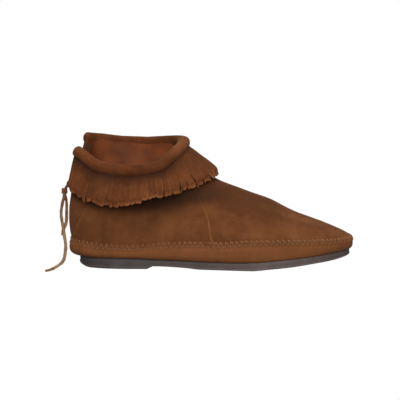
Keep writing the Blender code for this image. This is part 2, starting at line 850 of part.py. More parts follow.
def tube_mesh(points, diameter, resolution):
    """Mesh of a capped tube along points."""
    curve = bpy.data.curves.new("tube", "CURVE")
    curve.dimensions = "3D"
    curve.bevel_depth = diameter / 2
    curve.bevel_resolution = resolution
    curve.use_fill_caps = True
    spline = curve.splines.new("POLY")
    spline.points.add(len(points) - 1)
    for target, point in zip(spline.points, points):
        target.co = (*point, 1)
    guide = bpy.data.objects.new("tube", curve)
    bpy.context.scene.collection.objects.link(guide)
    depsgraph = bpy.context.evaluated_depsgraph_get()
    mesh = bpy.data.meshes.new_from_object(guide.evaluated_get(depsgraph))
    bpy.data.objects.remove(guide)
    bpy.data.curves.remove(curve)
    bm = bmesh.new()
    bm.from_mesh(mesh)
    bpy.data.meshes.remove(mesh)
    bmesh.ops.remove_doubles(bm, verts=bm.verts[:], dist=MERGE)
    return bm


def through_points(route, count):
    """Evenly spread points on a smooth curve through a route."""
    rows = [Vector(p) for p in route]
    rows = [rows[0] * 2 - rows[1]] + rows + [rows[-1] * 2 - rows[-2]]
    fine = []
    for a, b, c, d in zip(rows, rows[1:], rows[2:], rows[3:]):
        for i in range(8):
            t = i / 8
            fine.append(0.5 * (2 * b + (c - a) * t + (2 * a - 5 * b + 4 * c - d) * t ** 2
                               + (3 * b - a - 3 * c + d) * t ** 3))
    fine.append(rows[-2])
    steps = [(b - a).length for a, b in zip(fine, fine[1:])]
    travel = np.concatenate(([0.0], np.cumsum(steps)))
    places = np.linspace(0, travel[-1], count)
    table = np.array(fine)
    return [Vector([np.interp(p, travel, table[:, axis]) for axis in range(3)]) for p in places]


def box_mesh(size, centre):
    """Box of a size about a centre."""
    bm = bmesh.new()
    bmesh.ops.create_cube(bm, size=1.0)
    bmesh.ops.scale(bm, verts=bm.verts[:], vec=size)
    bmesh.ops.translate(bm, verts=bm.verts[:], vec=centre)
    return bm


def build_slider(material, parts, cutters):
    """Two plates with their post, and the wire bail on the outer plate."""
    height = SLIDER_SHARE
    origin = last_point(height, 0.0)
    outward = surface_outward(height, 0.0)
    sideways = Vector((0, 1, 0))
    upward = outward.cross(sideways)
    if upward.z < 0:
        upward.negate()
    frame = Matrix.Translation(origin) @ Matrix((outward, sideways, upward)).transposed().to_4x4()

    outer_face = -WALL / 2 + GAP
    inner_face = -WALL / 2 - TEETH_THICKNESS - 2 * GAP
    post_length = SLIDER_LENGTH * POST_SHARE
    plate = (SLIDER_PLATE, SLIDER_WIDTH, SLIDER_LENGTH)
    post = (outer_face - inner_face + SLIDER_PLATE, SLIDER_POST, post_length)
    post_middle = (outer_face + inner_face) / 2
    post_height = SLIDER_LENGTH / 2 - post_length / 2 - GAP
    arch = []
    for turn in np.linspace(-90, 90, 9):
        reach = outer_face + SLIDER_PLATE + 4 * GAP + BAIL_RADIUS * cos(radians(turn))
        arch.append((reach, 0, BAIL_RADIUS * sin(radians(turn))))
    foot = outer_face + SLIDER_PLATE / 2
    arch = [(foot, 0, -BAIL_RADIUS)] + arch + [(foot, 0, BAIL_RADIUS)]

    pieces = (
        box_mesh(plate, (outer_face + SLIDER_PLATE / 2, 0, 0)),
        box_mesh(plate, (inner_face - SLIDER_PLATE / 2, 0, 0)),
        box_mesh(post, (post_middle, 0, post_height)),
        tube_mesh(arch, 2 * BAIL_WIRE, 2),
    )
    objects = []
    for bm in pieces:
        bmesh.ops.transform(bm, matrix=frame, verts=bm.verts[:])
        collection = cutters if objects else parts
        objects.append(finish("zip_slider" if not objects else "slider_piece", bm, material, collection))
    slider = objects[0]
    for other in objects[1:]:
        other.hide_render = True
        other.display_type = "WIRE"
        union = slider.modifiers.new("union", "BOOLEAN")
        union.operation = "UNION"
        union.solver = "EXACT"
        union.object = other


# Way between the points of a cord, in diameters
LOOP_SPACING = 0.9
TAIL_SPACING = 1.6


def build_thong(material, parts):
    """Thong through the bail: loop, knot and two tails."""
    for name, route, spacing in (
        ("thong_loop", LOOP_ROUTE, LOOP_SPACING),
        ("thong_tail_long", LONG_ROUTE, TAIL_SPACING),
        ("thong_tail_short", SHORT_ROUTE, TAIL_SPACING),
    ):
        length = sum((Vector(b) - Vector(a)).length for a, b in zip(route, route[1:]))
        count = max(6, round(length / (THONG * spacing)))
        bm = tube_mesh(through_points(route, count), THONG, 2)
        finish(name, bm, material, parts)
    bm = bmesh.new()
    bmesh.ops.create_uvsphere(bm, u_segments=12, v_segments=8, radius=0.5)
    bmesh.ops.scale(bm, verts=bm.verts[:], vec=KNOT)
    bmesh.ops.translate(bm, verts=bm.verts[:], vec=KNOT_PLACE)
    finish("thong_knot", bm, material, parts)


def clear_scene():
    """Start from an empty scene."""
    for thing in list(bpy.data.objects):
        bpy.data.objects.remove(thing)


def main():
    clear_scene()
    scene = bpy.context.scene
    parts = bpy.data.collections.new("moccasin_boot")
    cutters = bpy.data.collections.new("cutters")
    scene.collection.children.link(parts)
    scene.collection.children.link(cutters)

    suede = make_material("suede", (0.156, 0.053, 0.017), 0.95)
    rubber = make_material("rubber", (0.07, 0.052, 0.052), 0.6)
    board = make_material("sock", (0.24, 0.09, 0.03), 0.85)
    thong = make_material("thong_leather", (0.2, 0.1, 0.04), 0.8)
    tape = make_material("zip_tape", (0.05, 0.03, 0.02), 0.9)
    metal = make_material("zip_metal", (0.12, 0.1, 0.08), 0.4, 1.0)

    build_outsole(rubber, parts)
    build_band(suede, parts)
    build_insole(board, parts)
    build_upper(suede, parts)
    build_roll(suede, parts)
    build_fringe(suede, parts)
    build_tape("zip_tape_near", True, tape, parts)
    build_tape("zip_tape_far", False, tape, parts)
    build_slider(metal, parts, cutters)
    build_thong(thong, parts)


main()
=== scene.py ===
"""Looks of the fringed moccasin boot: suede skins, stitched seam, rolled collar, cut fringe,
heel zip, thong and rubber sole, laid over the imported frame. Lengths are metres."""

import bpy
import bmesh
import numpy as np
from math import acos, cos, degrees, pi, radians, sin
from mathutils import Matrix, Vector, noise


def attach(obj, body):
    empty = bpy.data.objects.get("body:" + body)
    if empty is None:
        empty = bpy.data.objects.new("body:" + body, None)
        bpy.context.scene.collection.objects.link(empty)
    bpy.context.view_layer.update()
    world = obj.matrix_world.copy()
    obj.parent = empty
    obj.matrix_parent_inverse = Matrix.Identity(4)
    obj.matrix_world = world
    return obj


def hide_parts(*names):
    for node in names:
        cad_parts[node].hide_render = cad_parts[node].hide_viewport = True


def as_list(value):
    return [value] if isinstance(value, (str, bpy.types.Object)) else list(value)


bl_info = {
    "name": "Fringed moccasin boot",
    "version": (1, 0, 0),
    "blender": (4, 5, 0),
    "location": "View3D > Sidebar > Moccasin",
    "description": "Suede upper, stitched band, rolled collar, fringe, zip and sole of a moccasin boot",
    "category": "Add Mesh",
}

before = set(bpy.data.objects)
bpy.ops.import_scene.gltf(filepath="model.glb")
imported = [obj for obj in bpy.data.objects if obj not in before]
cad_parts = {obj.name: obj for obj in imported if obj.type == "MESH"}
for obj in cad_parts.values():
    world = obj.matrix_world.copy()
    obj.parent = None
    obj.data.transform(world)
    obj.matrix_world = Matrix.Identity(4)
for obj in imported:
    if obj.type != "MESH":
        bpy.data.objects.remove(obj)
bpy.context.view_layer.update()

# Sizes of the boot, as its solids have them
LENGTH = 0.260
BALL_WIDTH = 0.090
COLLAR_HEIGHT = 0.1127
HEEL_HEIGHT = 0.0095
SOLE_THICKNESS = 0.0065
TOE_SPRING = 0.0095
FLOP = 0.0060
INSOLE_THICKNESS = 0.003
WALL = 0.0022
ROLL_RADIUS = 0.0052
FRINGE_LENGTH = 0.036
SLOT_HALF = 0.0045
TAPE_WIDTH = 0.0055
TEETH_WIDTH = 0.002
THONG = 0.0026
GAP = 0.0003
ORIGIN_SHARE = 0.1615
RISE = COLLAR_HEIGHT - HEEL_HEIGHT

# Last in side view: height, back of the heel, front of the vamp or shaft
PROFILE = (
    (0.121, 0.006, 1.001),
    (0.150, 0.005, 0.9975),
    (0.170, 0.005, 0.990),
    (0.199, 0.003, 0.972),
    (0.237, 0.001, 0.941),
    (0.281, -0.001, 0.899),
    (0.325, -0.002, 0.851),
    (0.373, -0.002, 0.800),
    (0.431, -0.001, 0.753),
    (0.489, 0.002, 0.708),
    (0.547, 0.005, 0.648),
    (0.606, 0.008, 0.586),
    (0.664, 0.013, 0.529),
    (0.732, 0.018, 0.482),
    (0.819, 0.025, 0.444),
    (0.916, 0.033, 0.416),
    (1.042, 0.042, 0.399),
    (1.100, 0.044, 0.397),
)

# Level outlines: height, four half widths on the outer side, four on the inner, the toe's side
WIDTHS = (
    (0.121, 0.328, 0.389, 0.506, 0.344, 0.328, 0.344, 0.478, 0.417, 0.089),
    (0.199, 0.328, 0.383, 0.478, 0.311, 0.326, 0.339, 0.450, 0.378, 0.078),
    (0.296, 0.317, 0.372, 0.422, 0.289, 0.317, 0.328, 0.394, 0.322, 0.061),
    (0.392, 0.306, 0.367, 0.378, 0.267, 0.306, 0.322, 0.350, 0.278, 0.044),
    (0.509, 0.289, 0.367, 0.333, 0.206, 0.283, 0.317, 0.300, 0.200, 0.033),
    (0.654, 0.267, 0.394, 0.333, 0.161, 0.250, 0.311, 0.278, 0.150, 0.022),
    (0.780, 0.250, 0.450, 0.389, 0.211, 0.239, 0.317, 0.289, 0.178, 0.011),
    (0.916, 0.239, 0.467, 0.411, 0.239, 0.228, 0.328, 0.306, 0.200, 0.0),
    (1.100, 0.233, 0.467, 0.417, 0.250, 0.222, 0.339, 0.317, 0.211, 0.0),
)
WIDTH_PLACES = (0.12, 0.38, 0.70, 0.90)
SOLE_OUTLINE = (0.035, 0.990, 0.294, 0.333, 0.467, 0.300, 0.294, 0.289, 0.439, 0.383, 0.089)

# Outsole: station, shares of heel height and toe spring for the top, the same for the underside
SOLE_LINE = (
    (0.000, 1.00, 0.000, 0.30, 0.000),
    (0.012, 1.00, 0.000, 0.15, 0.000),
    (0.040, 1.00, 0.000, 0.00, 0.000),
    (0.206, 0.96, 0.000, 0.00, 0.000),
    (0.248, 0.80, 0.000, 0.00, 0.000),
    (0.272, 0.68, 0.000, 0.26, 0.000),
    (0.388, 0.35, 0.000, 0.13, 0.000),
    (0.449, 0.18, 0.000, 0.00, 0.000),
    (0.574, 0.03, 0.015, 0.00, 0.000),
    (0.631, 0.00, 0.080, 0.00, 0.000),
    (0.691, 0.00, 0.210, 0.00, 0.147),
    (0.776, 0.00, 0.400, 0.00, 0.337),
    (0.849, 0.00, 0.570, 0.00, 0.547),
    (0.934, 0.00, 0.775, 0.00, 0.758),
    (0.978, 0.00, 0.840, 0.00, 0.916),
    (1.000, 0.00, 0.860, 0.00, 1.000),
)

# Stitched seam: place along the foot, height
SEAM = (
    (0.000, 0.134),
    (0.096, 0.108),
    (0.212, 0.097),
    (0.323, 0.118),
    (0.435, 0.135),
    (0.523, 0.133),
    (0.619, 0.154),
    (0.769, 0.160),
    (0.915, 0.151),
    (1.000, 0.146),
)

# Section of the band: turn from the sole to the seam, rise, spread past the sole's outline
BAND_SECTION = (
    (0.00, 0.00, 0.00),
    (0.16, 0.05, 0.45),
    (0.33, 0.18, 0.78),
    (0.50, 0.38, 0.97),
    (0.66, 0.60, 1.00),
    (0.83, 0.82, 0.93),
    (1.00, 1.00, 0.80),
)

# Middle of the rolled collar: angle in degrees, height on the outer and on the inner side
COLLAR_LINE = (
    (0, 0.965, 1.048),
    (15, 0.957, 1.044),
    (30, 0.915, 1.028),
    (54, 0.811, 1.008),
    (84, 0.780, 0.984),
    (109, 0.805, 0.982),
    (134, 0.896, 0.993),
    (150, 0.945, 0.998),
    (180, 1.000, 1.000),
)

# Fringe: angle, flare and drop of the tips on the outer side, then on the inner side
FRINGE_LINE = (
    (0, 0.28, 1.06, 0.30, 1.00),
    (35, 0.34, 0.96, 0.34, 0.97),
    (55, 0.44, 0.85, 0.36, 0.95),
    (80, 0.47, 0.82, 0.38, 0.93),
    (93, 0.47, 0.73, 0.38, 0.92),
    (105, 0.47, 0.66, 0.38, 0.92),
    (117, 0.49, 0.69, 0.41, 0.91),
    (134, 0.54, 0.81, 0.45, 0.90),
    (155, 0.72, 0.86, 0.64, 0.86),
    (180, 0.93, 0.75, 0.93, 0.75),
)
HEEL_SEAM = ((0.130, 10.1), (0.450, 36.5), (0.683, 52.0), (1.000, 57.0))
SIDE_SEAM = (
    (0.130, 0.514),
    (0.170, 0.502),
    (0.234, 0.495),
    (0.351, 0.488),
    (0.432, 0.476),
    (0.541, 0.454),
    (0.605, 0.440),
    (0.700, 0.411),
    (0.830, 0.370),
    (1.050, 0.338),
)
ZIP_PARTS = 0.545
SLIDER_SHARE = 0.625
MOUTH_OUTER = 0.012
MOUTH_INNER = 0.0125
FLOP_HEIGHTS = (0.66, 0.28)
FLOP_ANGLES = (-9, 9, 18, 52)

# Thong, as it hangs from the knot and lies on the floor
KNOT_PLACE = (-0.0464, 0.0, 0.0660)
LOOP_ROUTE = (
    (-0.0457, -0.0016, 0.0694),
    (-0.0444, -0.0023, 0.0722),
    (-0.0428, -0.0024, 0.0738),
    (-0.0416, -0.0013, 0.0745),
    (-0.0413, 0.0, 0.0747),
    (-0.0416, 0.0013, 0.0745),
    (-0.0428, 0.0024, 0.0738),
    (-0.0444, 0.0023, 0.0722),
    (-0.0457, 0.0016, 0.0694),
)
LONG_ROUTE = (
    (-0.0468, -0.0015, 0.0621),
    (-0.0482, -0.0017, 0.0570),
    (-0.0495, -0.0021, 0.0486),
    (-0.0489, -0.0030, 0.0420),
    (-0.0477, -0.0045, 0.0352),
    (-0.0463, -0.0070, 0.0275),
    (-0.0447, -0.0120, 0.0195),
    (-0.0447, -0.0195, 0.0123),
    (-0.0460, -0.0270, 0.0070),
    (-0.0508, -0.0350, 0.0035),
    (-0.0555, -0.0410, 0.0018),
    (-0.0591, -0.0460, 0.0014),
)
SHORT_ROUTE = (
    (-0.0456, 0.0015, 0.0621),
    (-0.0448, 0.0021, 0.0570),
    (-0.0450, 0.0030, 0.0460),
    (-0.0454, 0.0030, 0.0390),
    (-0.0468, 0.0026, 0.0349),
    (-0.0481, 0.0020, 0.0314),
    (-0.0486, 0.0015, 0.0267),
)

# Soft folds of the suede: two ends as shares of length, ball width and height, half width and
# depth in metres; a depth below zero is a ridge
CREASES = (
    (0.800, -0.20, 0.330, 0.870, -0.12, 0.270, 0.0036, 0.0011),
    (0.700, -0.34, 0.300, 0.800, -0.30, 0.220, 0.0080, 0.0008),
    (0.560, -0.33, 0.520, 0.640, -0.36, 0.300, 0.0090, 0.0009),
    (0.500, -0.30, 0.640, 0.560, -0.20, 0.610, 0.0060, 0.0008),
    (0.600, 0.30, 0.480, 0.680, 0.34, 0.280, 0.0090, 0.0009),
    (0.240, -0.36, 0.240, 0.420, -0.36, 0.300, 0.0070, -0.0006),
    (0.300, -0.36, 0.450, 0.400, -0.36, 0.370, 0.0070, 0.0007),
    (0.100, -0.30, 0.360, 0.180, -0.34, 0.230, 0.0070, 0.0006),
    (0.300, 0.31, 0.500, 0.420, 0.31, 0.360, 0.0080, 0.0007),
    (0.860, -0.16, 0.215, 0.985, -0.02, 0.168, 0.0045, -0.0006),
    (0.455, -0.36, 0.420, 0.500, -0.36, 0.240, 0.0050, 0.0006),
)

# Darker and paler patches of the suede, partly patchy nap, partly painted shade and painted highlight: place
# as shares of length, ball width and height, radius in metres, and tone, where a value below zero is darker
TONES = (
    # painted shade on the vamp
    (0.600, -0.24, 0.52, 0.026, -0.95),
    (0.530, -0.30, 0.60, 0.018, -0.55),
    (0.690, -0.20, 0.40, 0.022, -0.35),
    (0.360, -0.36, 0.25, 0.010, 0.40),
    (0.405, -0.36, 0.30, 0.007, 0.35),
    (0.300, -0.36, 0.42, 0.014, -0.30),
    (0.140, -0.28, 0.30, 0.014, -0.25),
    # painted highlight along the vamp's crease
    (0.790, -0.16, 0.335, 0.006, 0.7),
    (0.835, -0.12, 0.300, 0.006, 0.7),
    (0.930, -0.10, 0.190, 0.016, 0.15),
    (0.720, -0.36, 0.240, 0.018, 0.15),
    (0.600, 0.24, 0.52, 0.024, -0.60),
    (0.360, 0.34, 0.30, 0.016, 0.30),
)


class SmoothTable:
    """Curve through a table's rows by its first column, monotone between them."""

    def __init__(self, rows):
        table = np.array(rows, dtype=float)
        self.places = table[:, 0]
        self.values = table[:, 1:]
        self.step = np.diff(self.places)[:, None]
        slope = np.diff(self.values, axis=0) / self.step
        tangent = np.zeros_like(self.values)
        tangent[0] = slope[0]
        tangent[-1] = slope[-1]
        before = slope[:-1]
        after = slope[1:]
        rising = before * after > 0
        weight_a = 2 * self.step[1:] + self.step[:-1]
        weight_b = self.step[1:] + 2 * self.step[:-1]
        safe_before = np.where(rising, before, 1.0)
        safe_after = np.where(rising, after, 1.0)
        mean = (weight_a + weight_b) / (weight_a / safe_before + weight_b / safe_after)
        tangent[1:-1] = np.where(rising, mean, 0.0)
        self.tangent = tangent

    def __call__(self, place):
        place = np.clip(np.asarray(place, dtype=float), self.places[0], self.places[-1])
        i = np.searchsorted(self.places, place, side="right") - 1
        i = np.minimum(i, len(self.places) - 2)
        width = self.step[i]
        t = (place - self.places[i])[..., None] / width
        near = self.values[i] * (1 + 2 * t) * (1 - t) ** 2 + self.tangent[i] * width * t * (1 - t) ** 2
        far = self.values[i + 1] * t * t * (3 - 2 * t) - self.tangent[i + 1] * width * t * t * (1 - t)
        return near + far


profile_at = SmoothTable(PROFILE)
widths_at = SmoothTable(WIDTHS)
sole_line_at = SmoothTable(SOLE_LINE)
seam_at = SmoothTable(SEAM)
section_at = SmoothTable(BAND_SECTION)
collar_line_at = SmoothTable(COLLAR_LINE)
fringe_line_at = SmoothTable(FRINGE_LINE)
heel_seam_at = SmoothTable(HEEL_SEAM)
side_seam_at = SmoothTable(SIDE_SEAM)

SIDE_ANGLES = [acos(1 - 2 * place) for place in WIDTH_PLACES]
KNOTS = np.array([0.0] + SIDE_ANGLES + [pi] + [2 * pi - a for a in reversed(SIDE_ANGLES)])


def closed_spline_matrix():
    """Second derivatives of the closed cubic spline through KNOTS, for unit values."""
    count = len(KNOTS)
    span = np.diff(np.append(KNOTS, 2 * pi))
    left = np.zeros((count, count))
    right = np.zeros((count, count))
    for i in range(count):
        before = span[i - 1]
        after = span[i]
        following = (i + 1) % count
        left[i, i - 1] += before / 6
        left[i, i] += (before + after) / 3
        left[i, following] += after / 6
        right[i, i - 1] += 1 / before
        right[i, i] -= 1 / before + 1 / after
        right[i, following] += 1 / after
    return np.linalg.solve(left, right), span


SPLINE, SPANS = closed_spline_matrix()


def ease(share):
    """Smooth step from 0 to 1."""
    share = np.clip(share, 0.0, 1.0)
    return share * share * (3 - 2 * share)


def outline_points(back, front, widths, angle):
    """Points of level outlines; the angle runs from the heel by the outer side to the toe."""
    zero = np.zeros_like(widths[..., :1])
    ring = np.concatenate(
        [zero, -widths[..., 0:4], widths[..., 8:9], widths[..., 7:3:-1]], axis=-1)
    turn = np.mod(angle, 2 * pi)
    bend = ring @ SPLINE.T
    i = np.searchsorted(KNOTS, turn, side="right") - 1
    j = (i + 1) % len(KNOTS)
    width = SPANS[i]
    a = (KNOTS[i] + width - turn) / width
    b = 1 - a

    def pick(table, index):
        return np.take_along_axis(table, index[..., None], axis=-1)[..., 0]

    curve = (a ** 3 - a) * pick(bend, i) + (b ** 3 - b) * pick(bend, j)
    y = a * pick(ring, i) + b * pick(ring, j) + curve * width * width / 6
    x = back + (front - back) * (1 - np.cos(turn)) / 2
    return np.stack([x, y, np.zeros_like(x)], axis=-1)


def last_points(height, angle):
    """Points on the outer face of the shaft and vamp."""
    height, angle = np.broadcast_arrays(np.asarray(height, float), np.asarray(angle, float))
    line = profile_at(height) - ORIGIN_SHARE
    points = outline_points(line[..., 0] * LENGTH, line[..., 1] * LENGTH,
                            widths_at(height) * BALL_WIDTH, angle)
    turn = np.degrees(np.mod(angle + pi, 2 * pi) - pi)
    start, full, leave, end = FLOP_ANGLES
    across = ease((turn - start) / (full - start)) * (1 - ease((turn - leave) / (end - leave)))
    points[..., 0] -= FLOP * across * ease((height - FLOP_HEIGHTS[0]) / FLOP_HEIGHTS[1])
    points[..., 2] = HEEL_HEIGHT + height * RISE
    return points


def hump(value, centre, half):
    """Soft bump of height 1 about a centre."""
    return np.exp(-((value - centre) / half) ** 2)


def unit(vectors):
    """Vectors made one long."""
    return vectors / np.maximum(np.linalg.norm(vectors, axis=-1, keepdims=True), 1e-12)


NUDGE = 0.004


def level_outward(height, angle):
    """Level directions out of the outline."""
    along = last_points(height, angle + NUDGE) - last_points(height, angle - NUDGE)
    return unit(np.stack([along[..., 1], -along[..., 0], np.zeros_like(along[..., 0])], axis=-1))


def surface_outward(height, angle):
    """Directions straight out of the leather."""
    along = last_points(height, angle + NUDGE) - last_points(height, angle - NUDGE)
    up = last_points(height + NUDGE, angle) - last_points(height - NUDGE, angle)
    return unit(np.cross(along, up))


def place_along(angle):
    """Share of the foot's length at an angle of the outline."""
    return (1 - np.cos(angle)) / 2


def sole_level(station, top):
    """Height of the outsole's top or underside."""
    line = sole_line_at(station)
    if top:
        extra = (HEEL_HEIGHT - SOLE_THICKNESS) * line[..., 0]
        return SOLE_THICKNESS + extra + TOE_SPRING * line[..., 1]
    return HEEL_HEIGHT * line[..., 2] + TOE_SPRING * line[..., 3]


def sole_points(angle, inset, across):
    """Points of the sole's outline moved in by inset; across 0 lies on the middle line."""
    back, front, *widths = SOLE_OUTLINE
    ring = np.array(widths) * BALL_WIDTH
    ring[:8] -= inset
    ring = np.broadcast_to(ring, (*np.shape(angle), 9))
    low = (back - ORIGIN_SHARE) * LENGTH + inset
    high = (front - ORIGIN_SHARE) * LENGTH - inset
    points = outline_points(low, high, ring, angle)
    other = outline_points(low, high, ring, -angle)
    middle = (points[..., 1] + other[..., 1]) / 2
    points[..., 1] = middle + (points[..., 1] - middle) * across
    return points


def seam_points(angle, inset=0.0):
    """Points of the stitched seam, moved in level by inset."""
    height = seam_at(place_along(angle))[..., 0]
    line = (profile_at(height) - ORIGIN_SHARE) * LENGTH
    widths = widths_at(height) * BALL_WIDTH
    widths[..., :8] -= inset
    points = outline_points(line[..., 0] + inset, line[..., 1] - inset, widths, angle)
    points[..., 2] = HEEL_HEIGHT + height * RISE
    return points


def seam_travel(angle):
    """Way along the stitched seam from the heel's middle to an angle."""
    return np.interp(angle, SEAM_ANGLES, SEAM_TRAVEL)


SEAM_ANGLES = np.linspace(0, 2 * pi, 721)
SEAM_TRAVEL = np.concatenate(
    ([0.0], np.cumsum(np.linalg.norm(np.diff(seam_points(SEAM_ANGLES), axis=0), axis=-1))))


PUCKER_REACH = 0.0042      # way from the seam over which the gathers fade
SEAM_LIP = 0.00035         # height and reach of the turned edge at the seam
SEAM_LIP_REACH = 0.0011
SEAM_GROOVE = 0.0004       # depth and half width of the groove that the stitches draw
SEAM_GROOVE_HALF = 0.0014


def gathers(angle, distance, sizes):
    """Puckers that the stitches pull into the leather, fading away from the seam."""
    stitches = round(SEAM_TRAVEL[-1] / sizes.stitch_pitch)
    wave = np.cos(2 * pi * stitches * seam_travel(angle) / SEAM_TRAVEL[-1])
    return sizes.pucker * wave * hump(distance, 0, PUCKER_REACH)


def seam_relief(angle, distance, groove_place, sizes):
    """Gathers, groove and turned edge of the leather beside the stitched seam."""
    groove = SEAM_GROOVE * hump(distance, groove_place, SEAM_GROOVE_HALF)
    lip = SEAM_LIP * hump(distance, 0, SEAM_LIP_REACH)
    return gathers(angle, distance, sizes) - groove + lip


NOISE_SHIFT = (3.7, 1.3, 7.1)    # way from seed to seed through the noise
CREASE_SQUASH = (1, 0.5, 1)      # a fold reaches twice as far across the boot
CREASE_ENDS = 0.4                # share of its depth that a fold keeps at its ends


def soft_noise(points, size, seed):
    """Smooth noise from -1 to 1 over points."""
    flat = points.reshape(-1, 3) / size
    shift = Vector([seed * part for part in NOISE_SHIFT])
    values = [noise.noise(Vector(p) + shift) for p in flat]
    return np.array(values).reshape(points.shape[:-1])


def boot_place(x, y, z):
    """Point from shares of length, ball width and height."""
    return np.array([(x - ORIGIN_SHARE) * LENGTH, y * BALL_WIDTH, HEEL_HEIGHT + z * RISE])


def crease_depth(points):
    """Inward depth of the soft folds at points."""
    depth = np.zeros(points.shape[:-1])
    for x0, y0, z0, x1, y1, z1, half, deep in CREASES:
        a = boot_place(x0, y0, z0)
        b = boot_place(x1, y1, z1)
        way = np.clip(((points - a) @ (b - a)) / ((b - a) @ (b - a)), 0, 1)
        near = a + way[..., None] * (b - a)
        off = np.linalg.norm((points - near) * CREASE_SQUASH, axis=-1)
        fade = CREASE_ENDS + (1 - CREASE_ENDS) * np.sin(pi * way)
        depth += deep * hump(off, 0, half) * fade
    return depth


def tone_and_light_patches(points):
    """Darker and paler patches of the nap, with painted shade on the vamp and a painted highlight along its
    crease among them.
    """
    tone = np.zeros(points.shape[:-1])
    for x, y, z, radius, amount in TONES:
        off = np.linalg.norm(points - boot_place(x, y, z), axis=-1)
        tone += amount * hump(off, 0, radius)
    return tone


MERGE = 1e-6


def bent_sheet(points, keep=None, masks=None):
    """Flat grid bent to an array of points, with masks as float attributes."""
    columns = points.shape[0] - 1
    rows = points.shape[1] - 1
    bm = bmesh.new()
    bmesh.ops.create_grid(bm, x_segments=columns, y_segments=rows, size=1.0)
    column_of = bm.verts.layers.int.new("column")
    row_of = bm.verts.layers.int.new("row")
    layers = {name: bm.verts.layers.float.new(name) for name in (masks or {})}
    for vert in bm.verts:
        vert[column_of] = round((vert.co.x + 1) / 2 * columns)
        vert[row_of] = round((vert.co.y + 1) / 2 * rows)
    if keep is not None:
        dropped = []
        for face in bm.faces:
            column = min(vert[column_of] for vert in face.verts)
            row = min(vert[row_of] for vert in face.verts)
            if not keep[column, row]:
                dropped.append(face)
        bmesh.ops.delete(bm, geom=dropped, context="FACES")
    for vert in bm.verts:
        column = vert[column_of]
        row = vert[row_of]
        vert.co = points[column, row]
        for name, layer in layers.items():
            vert[layer] = masks[name][column, row]
    bmesh.ops.remove_doubles(bm, verts=bm.verts[:], dist=MERGE)
    return bm


def walled_sheet(outer, inner, keep=None, masks=None):
    """Bent sheet with a wall; faces of the drawn side take the second material."""
    bm = bent_sheet(outer, keep, masks)
    column_of = bm.verts.layers.int["column"]
    row_of = bm.verts.layers.int["row"]
    drawn = bmesh.ops.extrude_face_region(bm, geom=bm.faces[:], use_keep_orig=True)
    for item in drawn["geom"]:
        if isinstance(item, bmesh.types.BMVert):
            item.co = inner[item[column_of], item[row_of]]
        elif isinstance(item, bmesh.types.BMFace):
            item.material_index = 1
    return bm


def finish_piece(name, bm, materials, replaced=(), sharp=50):
    """Closed bmesh made a piece that rides on the boot."""
    bmesh.ops.recalc_face_normals(bm, faces=bm.faces[:])
    if bm.calc_volume(signed=True) < 0:
        bmesh.ops.reverse_faces(bm, faces=bm.faces[:])
    mesh = bpy.data.meshes.new(name)
    bm.to_mesh(mesh)
    bm.free()
    mesh.shade_smooth()
    mesh.set_sharp_from_angle(angle=radians(sharp))
    for material in materials:
        mesh.materials.append(material)
    piece = bpy.data.objects.new(name, mesh)
    bpy.context.scene.collection.objects.link(piece)
    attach(piece, "root")
    if replaced:
        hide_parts(*replaced)
    return piece


# Materials


def new_material(name, roughness, metallic=0.0, specular=0.3):
    """Node material, its node tree and its Principled shader."""
    material = bpy.data.materials.new(name)
    material.use_nodes = True
    shader = material.node_tree.nodes["Principled BSDF"]
    shader.inputs["Roughness"].default_value = roughness
    shader.inputs["Metallic"].default_value = metallic
    shader.inputs["Specular IOR Level"].default_value = specular
    return material, material.node_tree, shader


def noise_node(tree, vector, scale, detail=3.0, roughness=0.55):
    """Noise texture on a vector."""
    node = tree.nodes.new("ShaderNodeTexNoise")
    node.inputs["Scale"].default_value = scale
    node.inputs["Detail"].default_value = detail
    node.inputs["Roughness"].default_value = roughness
    tree.links.new(vector, node.inputs["Vector"])
    return node.outputs["Fac"]


def math_node(tree, operation, a, b):
    """Math node; each operand is a socket or a number."""
    node = tree.nodes.new("ShaderNodeMath")
    node.operation = operation
    for socket, value in zip(node.inputs, (a, b)):
        if isinstance(value, (int, float)):
            socket.default_value = value
        else:
            tree.links.new(value, socket)
    return node.outputs[0]


def range_node(tree, value, low, high, to_low=0.0, to_high=1.0):
    """Map Range node, clamped."""
    node = tree.nodes.new("ShaderNodeMapRange")
    for name, number in (("From Min", low), ("From Max", high), ("To Min", to_low), ("To Max", to_high)):
        node.inputs[name].default_value = number
    tree.links.new(value, node.inputs["Value"])
    return node.outputs["Result"]


def mix_node(tree, factor, a, b, blend="MIX"):
    """Colour mix; a and b are sockets or colours."""
    node = tree.nodes.new("ShaderNodeMix")
    node.data_type = "RGBA"
    node.blend_type = blend
    if isinstance(factor, (int, float)):
        node.inputs["Factor"].default_value = factor
    else:
        tree.links.new(factor, node.inputs["Factor"])
    for name, value in (("A", a), ("B", b)):
        socket = [s for s in node.inputs if s.name == name and s.type == "RGBA"][0]
        if isinstance(value, tuple):
            socket.default_value = (*value, 1.0)
        else:
            tree.links.new(value, socket)
    return [s for s in node.outputs if s.type == "RGBA"][0]


def two_tone(tree, factor, colours, name):
    """Mix of a finish's dark and light colours."""
    dark = tuple(getattr(colours, name + "_dark"))
    return mix_node(tree, factor, dark, tuple(getattr(colours, name + "_light")))


def object_vector(tree):
    """Object coordinates."""
    return tree.nodes.new("ShaderNodeTexCoord").outputs["Object"]


def object_axis(tree, axis):
    """One of the object coordinates."""
    split = tree.nodes.new("ShaderNodeSeparateXYZ")
    tree.links.new(object_vector(tree), split.inputs[0])
    return split.outputs[axis]


def attribute_value(tree, name):
    """Float attribute of the mesh."""
    node = tree.nodes.new("ShaderNodeAttribute")
    node.attribute_name = name
    return node.outputs["Fac"]


# Noises of the brushed nap: scale, detail, roughness
NAP_CLOUD = (38.0, 2.0, 0.5)
NAP_PATCH = (170.0, 4.0, 0.62)
NAP_FIBRE = (1500.0, 3.0, 0.6)
NAP_LAY = (1.0, 1.0, 0.45)       # the fibres lie up and down


